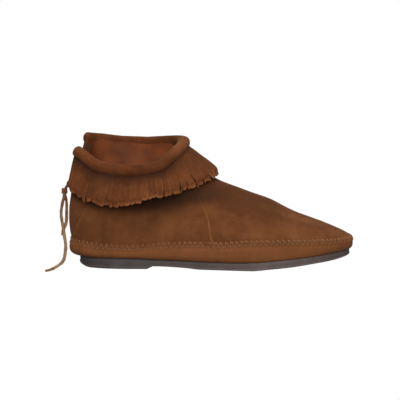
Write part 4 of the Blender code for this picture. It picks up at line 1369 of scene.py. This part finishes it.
SIDE_BOW = 0.018           # share by which a strip is shorter at its sides
CUP = 0.00030              # how far a strip's sides lie back
FREE_FROM = 0.25           # shares of the fall where the strips start to move and to curl
CURL_FROM = 0.82
FRINGE_WAVES = 0.0006
TIP_THIN = (0.9, 0.85)     # share of the fall from which the leather thins, and how much is left
TIP_WEAR = (0.80, 0.55, 0.25)    # pale raw leather on the last rows
TOP_SHADE = (0.95, 0.62)   # painted shade under the roll, and down to which share
TOP_SHADE_FADES = (0.8, 160, 22)     # share that it loses at the instep, middle and half width
FRINGE_TONE = (-0.15, 0.3)       # tone, and how cloudy
FRINGE_WARM = 0.6


def fringe_frame(angle, share, length):
    """Middle of the leather along its fall, the direction out of it and the one along the collar."""
    height = collar_heights(angle)
    outward = level_outward(height, angle)
    start = last_points(height + FRINGE_LEAVES / RISE, angle) + outward * FRINGE_CLEAR
    turn = np.degrees(np.mod(angle, 2 * pi))
    line = fringe_line_at(np.minimum(turn, 360 - turn))
    near_side = (turn <= 180)[..., None]
    flare = np.where(near_side, line[..., 0:1], line[..., 2:3])
    drop = np.where(near_side, line[..., 1:2], line[..., 3:4])
    fall = outward * flare - np.array([0, 0, 1]) * drop
    tip = collar_points(angle) + fall * FRINGE_LENGTH
    tip = start + (tip - start) * length
    bend = start + (tip - start) * np.array(FRINGE_BEND)
    point = (1 - share) ** 2 * start + 2 * share * (1 - share) * bend + share ** 2 * tip
    along = unit((bend - start) * (1 - share) + (tip - bend) * share)
    side = np.cross(outward, np.array([0, 0, 1.0]))
    return point, -unit(np.cross(side, along)), side


def cut_strips(sizes, angles, travel):
    """Ways along the collar at which the fringe is cut, its slits' widths and their starts."""
    rng = np.random.default_rng(11)
    cuts = [0.0]
    while cuts[-1] < travel[-1] - sizes.strip:
        turn = np.degrees(np.interp(cuts[-1], travel, angles))
        front = ease(1 - abs(turn - WIDER_STRIPS[0]) / WIDER_STRIPS[1])
        width = sizes.strip + (sizes.strip_front - sizes.strip) * front
        cuts.append(cuts[-1] + width * rng.uniform(0.78, 1.22))
    cuts[-1] = travel[-1]
    cuts = np.array(cuts)
    widths = rng.uniform(0.00002, 0.00012, len(cuts))
    starts = rng.uniform(0.30, 0.58, len(cuts))
    leans = np.zeros(len(cuts))
    turns = np.degrees(np.interp(cuts, travel, angles))
    on_leaf = (turns > FRONT_LEAF[0]) & (turns < FRONT_LEAF[1])
    starts = np.where(on_leaf, 0.86 + 0.2 * (starts - 0.3), starts)
    for degree, width, start, lean in WIDE_CUTS:
        way = np.interp(radians(degree), angles, travel)
        nearest = int(np.argmin(np.abs(cuts - way)))
        cuts[nearest] = way
        widths[nearest] = width
        starts[nearest] = start
        leans[nearest] = lean
    return cuts, widths, starts, leans, rng


class BOOT_OT_fringe(bpy.types.Operator):
    """Suede band cut into strips that curl a little, with ragged tips"""
    bl_idname = "boot.fringe"
    bl_label = "Fringe"

    def execute(self, context):
        sizes = context.scene.boot_sizes
        colours = context.scene.boot_colours
        angles, travel = collar_travel()
        cuts, widths, starts, leans, rng = cut_strips(sizes, angles, travel)
        strips = len(cuts) - 1
        cells = STRIP_CELLS + 1
        columns = strips * cells - 1
        share = np.concatenate([np.zeros(HUG_ROWS), np.linspace(0, 1, FRINGE_ROWS)])
        index = np.arange(columns + 1)
        strip = index // cells
        cell = np.array(STRIP_PLACES)[index % cells]
        slit_share = share[None, :]

        def cut_side(number, side):
            begin = starts[number][:, None]
            grow = np.clip((slit_share - begin) / (1 - begin), 0, 1)
            half = (widths[number][:, None] * grow + LEAST_SLIT * (grow > 0)) / 2 + CELL_GAP
            return cuts[number][:, None] + leans[number][:, None] * grow + side * half

        left = cut_side(strip, 1)
        right = cut_side(strip + 1, -1)
        way = left + (right - left) * cell[:, None]
        turn = np.interp(way, travel, angles)
        across = (cell - 0.5) * 2
        ragged = rng.uniform(0.955, 1.02, strips)
        slant = rng.uniform(-0.022, 0.022, strips)
        length = ragged[strip] + slant[strip] * across - SIDE_BOW * across ** 2
        length = (length + rng.uniform(-0.024, 0.024, columns + 1))[:, None, None]
        points, outward, side = fringe_frame(turn, np.broadcast_to(share, turn.shape)[..., None], length)
        hug = np.linspace(FRINGE_TOP, FRINGE_LEAVES, HUG_ROWS + 1)[:-1]
        hugging = turn[:, :HUG_ROWS]
        height = collar_heights(hugging)
        level = level_outward(height, hugging)
        points[:, :HUG_ROWS] = last_points(height + hug[None, :] / RISE, hugging) + level * FRINGE_CLEAR
        outward[:, :HUG_ROWS] = level

        def each_strip(low, high):
            return (rng.uniform(low, high, strips)[strip])[:, None, None]

        free = ease((share - FREE_FROM) / (1 - FREE_FROM))[None, :, None]
        lift = each_strip(-0.0004, 0.0008)
        drift = each_strip(-0.0003, 0.0003)
        twist = each_strip(-0.0005, 0.0005) * across[:, None, None]
        cup = (CUP * across ** 2)[:, None, None]
        curl = each_strip(0.0006, 0.0038)
        curl = curl * ease((share - CURL_FROM) / (1 - CURL_FROM))[None, :, None] ** 2
        points = points + outward * (free * (lift + twist - cup) + curl) + side * free * drift
        waves = soft_noise(points, 0.012, 8)[..., None]
        points = points + outward * waves * FRINGE_WAVES * ease(share * 3)[None, :, None]
        thin = np.where(share > TIP_THIN[0], TIP_THIN[1], 1.0)[None, :, None]
        half = outward * sizes.fringe_leather / 2 * thin
        keep = np.ones((columns, points.shape[1] - 1), dtype=bool)
        for number in range(1, strips):
            first_open = int(np.searchsorted(share, starts[number]))
            keep[number * cells - 1, first_open:] = False
        edge = np.zeros(points.shape[:2])
        edge[:, -len(TIP_WEAR):] = TIP_WEAR[::-1]
        paler = rng.uniform(0.1, 1.0, strips)[strip][:, None]
        sides = ((index % cells == 0) | (index % cells == STRIP_CELLS))[:, None]
        edge = edge + paler * sides * (slit_share > starts[strip][:, None])
        # painted shade on the fringe's top, under the roll
        instep = TOP_SHADE_FADES[0] * hump(np.degrees(turn), *TOP_SHADE_FADES[1:])
        shade = TOP_SHADE[0] * ease(1 - share / TOP_SHADE[1])[None, :] * (1 - instep)
        tone = FRINGE_TONE[0] + FRINGE_TONE[1] * soft_noise(points, 0.012, 14)
        tone = tone + each_strip(-0.2, 0.2)[..., 0]
        masks = {"edge": np.clip(edge, 0, 1), "shade": shade, "tone": tone, "warm": FRINGE_WARM + 0 * tone}
        bm = walled_sheet(points + half, points - half, keep, masks)
        suede = suede_material(colours)
        finish_piece("fringe_band_look", bm, [suede, suede], ("fringe_band",), sharp=60)
        return {"FINISHED"}


# Stitches


def tube_bmesh(points, radius, sides=8, flat=1.0, twist=None):
    """Closed tube along points; flat narrows it across its side direction."""
    points = np.asarray(points, float)
    along = unit(np.gradient(points, axis=0))
    side = np.zeros_like(points)
    start = np.cross(along[0], (0.0, 0.0, 1.0))
    if np.linalg.norm(start) < 0.2:
        start = np.cross(along[0], (0.0, 1.0, 0.0))
    side[0] = unit(start)
    for i in range(1, len(points)):
        moved = side[i - 1] - along[i] * (side[i - 1] @ along[i])
        side[i] = unit(moved)
    other = np.cross(along, side)
    if twist is not None:
        turned = np.cos(twist)[:, None] * side + np.sin(twist)[:, None] * other
        other = np.cross(along, turned)
        side = turned
    turns = np.linspace(0, 2 * pi, sides + 1)
    radius = np.broadcast_to(radius, (len(points),))
    ring = (np.cos(turns)[:, None, None] * side[None] + flat * np.sin(turns)[:, None, None] * other[None])
    rows = points[None] + ring * radius[None, :, None]
    first = np.broadcast_to(points[0], (sides + 1, 1, 3))
    last = np.broadcast_to(points[-1], (sides + 1, 1, 3))
    return bent_sheet(np.concatenate([first, rows, last], axis=1))


def join_bmesh(target, source):
    """Add the shapes of source to target."""
    mesh = bpy.data.meshes.new("join")
    source.to_mesh(mesh)
    source.free()
    target.from_mesh(mesh)
    bpy.data.meshes.remove(mesh)


class BOOT_OT_stitches(bpy.types.Operator):
    """Zigzag whip stitches over the seam between band and upper"""
    bl_idname = "boot.stitches"
    bl_label = "Whip stitches"

    def execute(self, context):
        sizes = context.scene.boot_sizes
        total = SEAM_TRAVEL[-1]
        stitches = round(total / sizes.stitch_pitch)
        pitch = total / stitches
        bm = bmesh.new()
        rng = np.random.default_rng(4)
        steps = np.linspace(0, 1, 9)
        for i in range(2 * stitches):
            up = i % 2 == 0
            jitter = rng.uniform(-0.2, 0.2, 2)
            size = rng.uniform(0.7, 1.05)
            ways = (i + np.array([0.0 + jitter[0], 1.0 + jitter[1]])) * pitch / 2
            way = np.mod(ways[0] + (ways[1] - ways[0]) * steps, total)
            angle = np.interp(way, SEAM_TRAVEL, SEAM_ANGLES)
            reach = (steps * 2 - 1) * (1 if up else -1) * sizes.stitch_reach * size
            points = seam_offset_points(angle, reach)
            bury = 0.0011 * (np.abs(steps * 2 - 1) ** 8)
            points = points + points_outward(angle, reach) * (0.00034 - bury)[:, None]
            join_bmesh(bm, tube_bmesh(points, sizes.thread / 2, 6))
        finish_piece("whip_stitches", bm, [thread_material(context.scene.boot_colours)])
        return {"FINISHED"}


def seam_offset_points(angle, reach):
    """Points on the leather at a way above or below the seam."""
    seam_height = seam_at(place_along(angle))[..., 0]
    up = last_points(seam_height + NUDGE, angle) - last_points(seam_height, angle)
    slope = np.linalg.norm(up, axis=-1) / NUDGE
    above = last_points(seam_height + np.maximum(reach, 0) / slope, angle)
    turns = np.linspace(0, 1, 61)
    below = []
    for one, way in zip(np.atleast_1d(angle), np.atleast_1d(reach)):
        column = band_points(np.array([one]), turns, 0.0)[0][::-1]
        travel = np.concatenate(([0], np.cumsum(np.linalg.norm(np.diff(column, axis=0), axis=-1))))
        below.append([np.interp(max(-way, 0), travel, column[:, axis]) for axis in range(3)])
    return np.where((reach >= 0)[:, None], above, np.array(below))


def points_outward(angle, reach):
    """Directions out of the leather near the seam."""
    seam_height = seam_at(place_along(angle))[..., 0]
    upper = surface_outward(seam_height + 0.01, angle)
    level = level_outward(seam_height, angle)
    share = ease(reach / 0.002 * 0.5 + 0.5)[:, None]
    return unit(level * (1 - share) + upper * share)


# Zip


TAPE_TOP_DROP = 0.0075
TAPE_THICKNESS = 0.0008
TAPE_CORD = 0.0021         # depth of the tape's corded edge below the upper's face
TAPE_COLUMNS = (SLOT_HALF - 0.0008, SLOT_HALF - 0.0014, SLOT_HALF - TEETH_WIDTH,
                0.0012, 0.0, -0.003, -TAPE_WIDTH)
TEETH_PITCH = 0.0021
TEETH_LINE = SLOT_HALF - 0.0011
TEETH_DEPTH = 0.0025
TOOTH = (0.0017, 0.0023, 0.0011)
TOOTH_EDGE = 0.0003
TOOTH_SHIFT = 0.0001
TEETH_THICKNESS = 0.0029
SLIDER_PLATE = (0.0012, 0.0075, 0.0100)
SLIDER_NARROW = 0.62       # width of the slider's lower end as a share
SLIDER_EDGE = 0.00032
POST = (0.001, 0.003, 0.0032)    # width, length and height of the slider's post
BAIL_RADIUS = 0.0029
BAIL_WIRE = 0.00062
BAIL_REACH = 0.0024        # how far the bail's legs stand out before the arch


def zip_line(outer_side, count, inset):
    """Heights along one zip half, and points at a way inside the slot's edge."""
    height, _ = upper_grid()
    slot_row = round(SLOT_BOTTOM * UPPER_ROWS)
    low = float(height[0, slot_row]) + 2 * GAP / RISE
    high = float(collar_line_at(0)[0 if outer_side else 1]) - TAPE_TOP_DROP / RISE
    heights = np.linspace(low, high, count)
    sign = -1 if outer_side else 1
    side = sign * (mouth_half(heights, outer_side) - inset)
    return heights, heel_angles(heights, side)


class BOOT_OT_zip(bpy.types.Operator):
    """Zip in the heel: two tapes, their rows of teeth and the slider with its bail"""
    bl_idname = "boot.zip"
    bl_label = "Zip"

    def execute(self, context):
        colours = context.scene.boot_colours
        tape = tape_material(colours)
        metal = metal_material(colours)
        for name, outer_side in (("near", True), ("far", False)):
            self.build_tape(name, outer_side, tape)
            self.build_teeth(name, outer_side, metal)
        self.build_slider(metal)
        return {"FINISHED"}

    def build_tape(self, name, outer_side, material):
        """Woven tape with its corded inner edge."""
        count = 61
        outer = []
        inner = []
        for inset in TAPE_COLUMNS:
            heights, angle = zip_line(outer_side, count, inset)
            points = last_points(heights, angle)
            outward = surface_outward(heights, angle)
            depth = TAPE_CORD if inset >= SLOT_HALF - TEETH_WIDTH else WALL + TAPE_THICKNESS
            outer.append(points - outward * depth)
            inner.append(points - outward * (depth + TAPE_THICKNESS))
        bm = walled_sheet(np.stack(outer), np.stack(inner))
        tape = "zip_tape_" + name
        finish_piece(tape + "_look", bm, [material, material], (tape,))

    def build_teeth(self, name, outer_side, material):
        """Row of teeth gripped on the tape's edge."""
        heights, angle = zip_line(outer_side, 401, TEETH_LINE)
        points = last_points(heights, angle)
        travel = np.concatenate(([0], np.cumsum(np.linalg.norm(np.diff(points, axis=0), axis=-1))))
        offset = 0.25 if outer_side else 0.75
        spare = 0.0 if outer_side else (collar_line_at(0)[1] - collar_line_at(0)[0]) * RISE
        ways = np.arange(offset * TEETH_PITCH, travel[-1] - spare, TEETH_PITCH)
        sign = -1 if outer_side else 1
        bm = bmesh.new()
        for way in ways:
            height = np.interp(way, travel, heights)
            turn = np.interp(way, travel, angle)
            outward = surface_outward(height, turn)
            up = unit(last_points(height + NUDGE, turn) - last_points(height - NUDGE, turn))
            across = np.cross(up, outward)
            middle = last_points(height, turn) - outward * TEETH_DEPTH
            basis = Matrix((across, outward, up)).transposed().to_4x4()
            tooth = bmesh.new()
            bmesh.ops.create_cube(tooth, size=1.0)
            bmesh.ops.scale(tooth, verts=tooth.verts[:], vec=TOOTH)
            bmesh.ops.translate(tooth, verts=tooth.verts[:], vec=(-sign * TOOTH_SHIFT, 0, 0))
            bmesh.ops.bevel(tooth, geom=tooth.edges[:], offset=TOOTH_EDGE, segments=1, affect="EDGES",
                            profile=0.5, material=-1)
            bmesh.ops.transform(tooth, matrix=Matrix.Translation(middle) @ basis, verts=tooth.verts[:])
            join_bmesh(bm, tooth)
        finish_piece("zip_teeth_" + name, bm, [material])

    def build_slider(self, material):
        """Rounded plates, post and the wire arch of the slider."""
        origin = Vector(last_points(SLIDER_SHARE, 0.0))
        outward = Vector(surface_outward(SLIDER_SHARE, 0.0))
        sideways = Vector((0, 1, 0))
        upward = outward.cross(sideways)
        if upward.z < 0:
            upward.negate()
        basis = Matrix.Translation(origin) @ Matrix((outward, sideways, upward)).transposed().to_4x4()
        outer_face = -WALL / 2 + GAP
        inner_face = -WALL / 2 - TEETH_THICKNESS - 2 * GAP
        half_plate = SLIDER_PLATE[0] / 2
        post_width, post_length, post_height = POST
        post = (outer_face - inner_face + post_width, post_width, post_length)
        bm = bmesh.new()
        for depth, lift, size in (
            (outer_face + half_plate, 0.0, SLIDER_PLATE),
            (inner_face - half_plate, 0.0, SLIDER_PLATE),
            ((outer_face + inner_face) / 2, post_height, post),
        ):
            plate = bmesh.new()
            bmesh.ops.create_cube(plate, size=1.0)
            for vert in plate.verts:
                if vert.co.z < 0:
                    vert.co.y *= SLIDER_NARROW
            bmesh.ops.scale(plate, verts=plate.verts[:], vec=size)
            bmesh.ops.translate(plate, verts=plate.verts[:], vec=(depth, 0, lift))
            bmesh.ops.bevel(plate, geom=plate.edges[:], offset=SLIDER_EDGE, segments=3, affect="EDGES",
                            profile=0.5, material=-1)
            join_bmesh(bm, plate)
        foot = outer_face + half_plate
        arch = [(foot, 0, -BAIL_RADIUS)]
        for turn in np.radians(np.linspace(-90, 90, 25)):
            reach = outer_face + BAIL_REACH + BAIL_RADIUS * cos(turn)
            arch.append((reach, 0, BAIL_RADIUS * sin(turn)))
        arch.append((foot, 0, BAIL_RADIUS))
        join_bmesh(bm, tube_bmesh(arch, BAIL_WIRE, 12))
        bmesh.ops.transform(bm, matrix=basis, verts=bm.verts[:])
        finish_piece("zip_slider_look", bm, [material], ("zip_slider",))


# Thong


def smooth_route(route, count):
    """Evenly spread points on a smooth curve through a route."""
    rows = [Vector(p) for p in route]
    rows = [rows[0] * 2 - rows[1]] + rows + [rows[-1] * 2 - rows[-2]]
    fine = []
    for a, b, c, d in zip(rows, rows[1:], rows[2:], rows[3:]):
        for i in range(12):
            t = i / 12
            fine.append(0.5 * (2 * b + (c - a) * t + (2 * a - 5 * b + 4 * c - d) * t ** 2
                               + (3 * b - a - 3 * c + d) * t ** 3))
    fine.append(rows[-2])
    table = np.array(fine)
    travel = np.concatenate(([0], np.cumsum(np.linalg.norm(np.diff(table, axis=0), axis=-1))))
    places = np.linspace(0, travel[-1], count)
    return np.stack([np.interp(places, travel, table[:, axis]) for axis in range(3)], axis=1), travel[-1]


KNOT_LIFT = 0.0022         # how far the drawn knot sits above the middle of its solid
KNOT_SHAPE = (0.0016, 0.00056, 0.00072)  # depth, width and height of the knot's turns
STRAND = 0.95              # thickness of the knot's strand, as a share of the thong
STRAP = 0.60               # half width of a tail, as a share of the thong
FLAT_LOOP = 0.8            # thickness across the width in loop, knot and tails, as shares
FLAT_KNOT = 0.85
FLAT_TAIL = 0.68
TWIST = 0.35
THONG_SIDES = 14


def knot_points():
    """Overhand knot: a trefoil of the thong stood on end and pulled tight."""
    turns = np.linspace(0.0, 1.0, 121) * 2 * pi
    across = np.sin(turns) + 2 * np.sin(2 * turns)
    upright = np.cos(turns) - 2 * np.cos(2 * turns)
    deep = -np.sin(3 * turns)
    shape = np.stack([deep, across, upright], axis=1) * KNOT_SHAPE
    return shape + np.array(KNOT_PLACE) + (0, 0, KNOT_LIFT)


class BOOT_OT_thong(bpy.types.Operator):
    """Leather thong looped through the slider's bail, knotted, with two free tails"""
    bl_idname = "boot.thong"
    bl_label = "Thong"

    def execute(self, context):
        material = thong_material(context.scene.boot_colours)
        loop, _ = smooth_route(LOOP_ROUTE, 48)
        loop = np.concatenate([[KNOT_PLACE], loop, [KNOT_PLACE]])
        bm = tube_bmesh(loop, THONG / 2, THONG_SIDES, FLAT_LOOP)
        loop_piece = finish_piece("thong_loop_look", bm, [material], ("thong_loop",))
        bm = tube_bmesh(knot_points(), THONG / 2 * STRAND, THONG_SIDES, FLAT_KNOT)
        knot_piece = finish_piece("thong_knot_look", bm, [material], ("thong_knot",))
        rng = np.random.default_rng(2)
        for name, route, others in (
            ("long", LONG_ROUTE, [knot_piece, loop_piece]),
            ("short", SHORT_ROUTE, []),
        ):
            points, length = smooth_route(route, 110 if name == "long" else 50)
            steps = np.linspace(0, 1, len(points))
            width = THONG * STRAP * (1 + 0.05 * np.sin(steps * 37) + 0.04 * np.sin(steps * 91 + 1))
            twist = TWIST * np.sin(steps * 5 + rng.uniform(0, 3))
            root = np.array(KNOT_PLACE) + (points[0] - np.array(KNOT_PLACE)) * 0.3
            body = np.concatenate([[root], points])
            bm = tube_bmesh(body, np.append(width[:1], width), THONG_SIDES, FLAT_TAIL,
                            np.append(twist[:1], twist))
            piece = finish_piece("thong_tail_" + name + "_look", bm, [material],
                                 ("thong_tail_" + name,))
            tuple(route[0])
            [tuple(p) for p in points]
            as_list(others)
        return {"FINISHED"}


# Stage


PHOTO_SIZE = 400
CAMERA_DISTANCE = 1.300    # from the plane through the boot's middle
CAMERA_HEIGHT = 0.2005
CAMERA_X = 0.0774
FOCAL_PIXELS = 1430.0
HORIZON_V = 45.0


def white_for_camera(tree, plain, white, outlet):
    """Show the camera a white backdrop, and light the boot with the plain one."""
    mixer = tree.nodes.new("ShaderNodeMixShader")
    rays = tree.nodes.new("ShaderNodeLightPath")
    tree.links.new(rays.outputs["Is Camera Ray"], mixer.inputs["Fac"])
    tree.links.new(plain, mixer.inputs[1])
    tree.links.new(white, mixer.inputs[2])
    tree.links.new(mixer.outputs["Shader"], outlet)


class BOOT_OT_stage(bpy.types.Operator):
    """Pale floor, soft studio light and the camera"""
    bl_idname = "boot.stage"
    bl_label = "Stage"

    def execute(self, context):
        scene = context.scene
        camera = bpy.data.cameras.new("camera")
        camera.sensor_width = 36.0
        camera.lens = FOCAL_PIXELS / PHOTO_SIZE * camera.sensor_width
        camera.clip_end = 20.0
        holder = bpy.data.objects.new("camera", camera)
        scene.collection.objects.link(holder)
        pitch = np.arctan((PHOTO_SIZE / 2 - HORIZON_V) / FOCAL_PIXELS)
        holder.location = (CAMERA_X, -CAMERA_DISTANCE, CAMERA_HEIGHT)
        holder.rotation_euler = (pi / 2 - float(pitch), 0, 0)
        scene.camera = holder

        bm = bmesh.new()
        bmesh.ops.create_grid(bm, x_segments=1, y_segments=1, size=6.0)
        mesh = bpy.data.meshes.new("floor")
        bm.to_mesh(mesh)
        bm.free()
        floor = bpy.data.objects.new("floor", mesh)
        scene.collection.objects.link(floor)
        material, tree, shader = new_material("white_floor", 0.9, specular=0.1)
        shader.inputs["Base Color"].default_value = (0.3, 0.3, 0.3, 1.0)
        glow = tree.nodes.new("ShaderNodeEmission")
        outlet = tree.nodes["Material Output"].inputs["Surface"]
        white_for_camera(tree, shader.outputs["BSDF"], glow.outputs["Emission"], outlet)
        mesh.materials.append(material)

        for name, place, aim, size, power in (
            ("key", (-0.05, -0.75, 1.35), (0.08, 0.0, 0.03), 0.8, 5.0),
            ("top", (0.15, 0.15, 1.5), (0.08, 0.0, 0.03), 0.9, 8.0),
            ("front", (0.1, -1.45, 0.62), (0.08, 0.0, 0.05), 0.8, 15.0),
        ):
            light = bpy.data.lights.new(name, "AREA")
            light.shape = "SQUARE"
            light.size = size
            light.energy = power
            lamp = bpy.data.objects.new(name, light)
            lamp.location = place
            way = Vector(aim) - Vector(place)
            lamp.rotation_euler = way.to_track_quat("-Z", "Y").to_euler()
            scene.collection.objects.link(lamp)

        world = bpy.data.worlds.new("world")
        world.use_nodes = True
        tree = world.node_tree
        dim = tree.nodes["Background"]
        dim.inputs["Color"].default_value = (1.0, 1.0, 1.0, 1.0)
        dim.inputs["Strength"].default_value = 0.16
        bright = tree.nodes.new("ShaderNodeBackground")
        bright.inputs["Color"].default_value = (1.0, 1.0, 1.0, 1.0)
        outlet = tree.nodes["World Output"].inputs["Surface"]
        white_for_camera(tree, dim.outputs["Background"], bright.outputs["Background"], outlet)
        scene.world = world
        scene.view_settings.view_transform = "Standard"
        return {"FINISHED"}


class BOOT_PT_panel(bpy.types.Panel):
    """Sizes, colours and pieces of the boot"""
    bl_idname = "BOOT_PT_panel"
    bl_label = "Moccasin boot"
    bl_space_type = "VIEW_3D"
    bl_region_type = "UI"
    bl_category = "Moccasin"

    def draw(self, context):
        for group in (context.scene.boot_sizes, context.scene.boot_colours):
            box = self.layout.box()
            for name in group.__annotations__:
                box.prop(group, name)
        for operator in OPERATORS:
            self.layout.operator(operator.bl_idname)


OPERATORS = (
    BOOT_OT_stage,
    BOOT_OT_thong,
    BOOT_OT_outsole,
    BOOT_OT_insole,
    BOOT_OT_band,
    BOOT_OT_upper,
    BOOT_OT_collar,
    BOOT_OT_fringe,
    BOOT_OT_stitches,
    BOOT_OT_zip,
)
CLASSES = (BootSizes, BootColours, *OPERATORS, BOOT_PT_panel)


def register():
    """Register the classes and hang the property groups on the scene."""
    for cls in CLASSES:
        bpy.utils.register_class(cls)
    bpy.types.Scene.boot_sizes = bpy.props.PointerProperty(type=BootSizes)
    bpy.types.Scene.boot_colours = bpy.props.PointerProperty(type=BootColours)


def unregister():
    """Take the property groups and classes away."""
    del bpy.types.Scene.boot_colours
    del bpy.types.Scene.boot_sizes
    for cls in reversed(CLASSES):
        bpy.utils.unregister_class(cls)


def main():
    """Build every piece."""
    register()
    for operator in OPERATORS:
        group, name = operator.bl_idname.split(".")
        getattr(getattr(bpy.ops, group), name)()


if __name__ == "__main__":
    main()
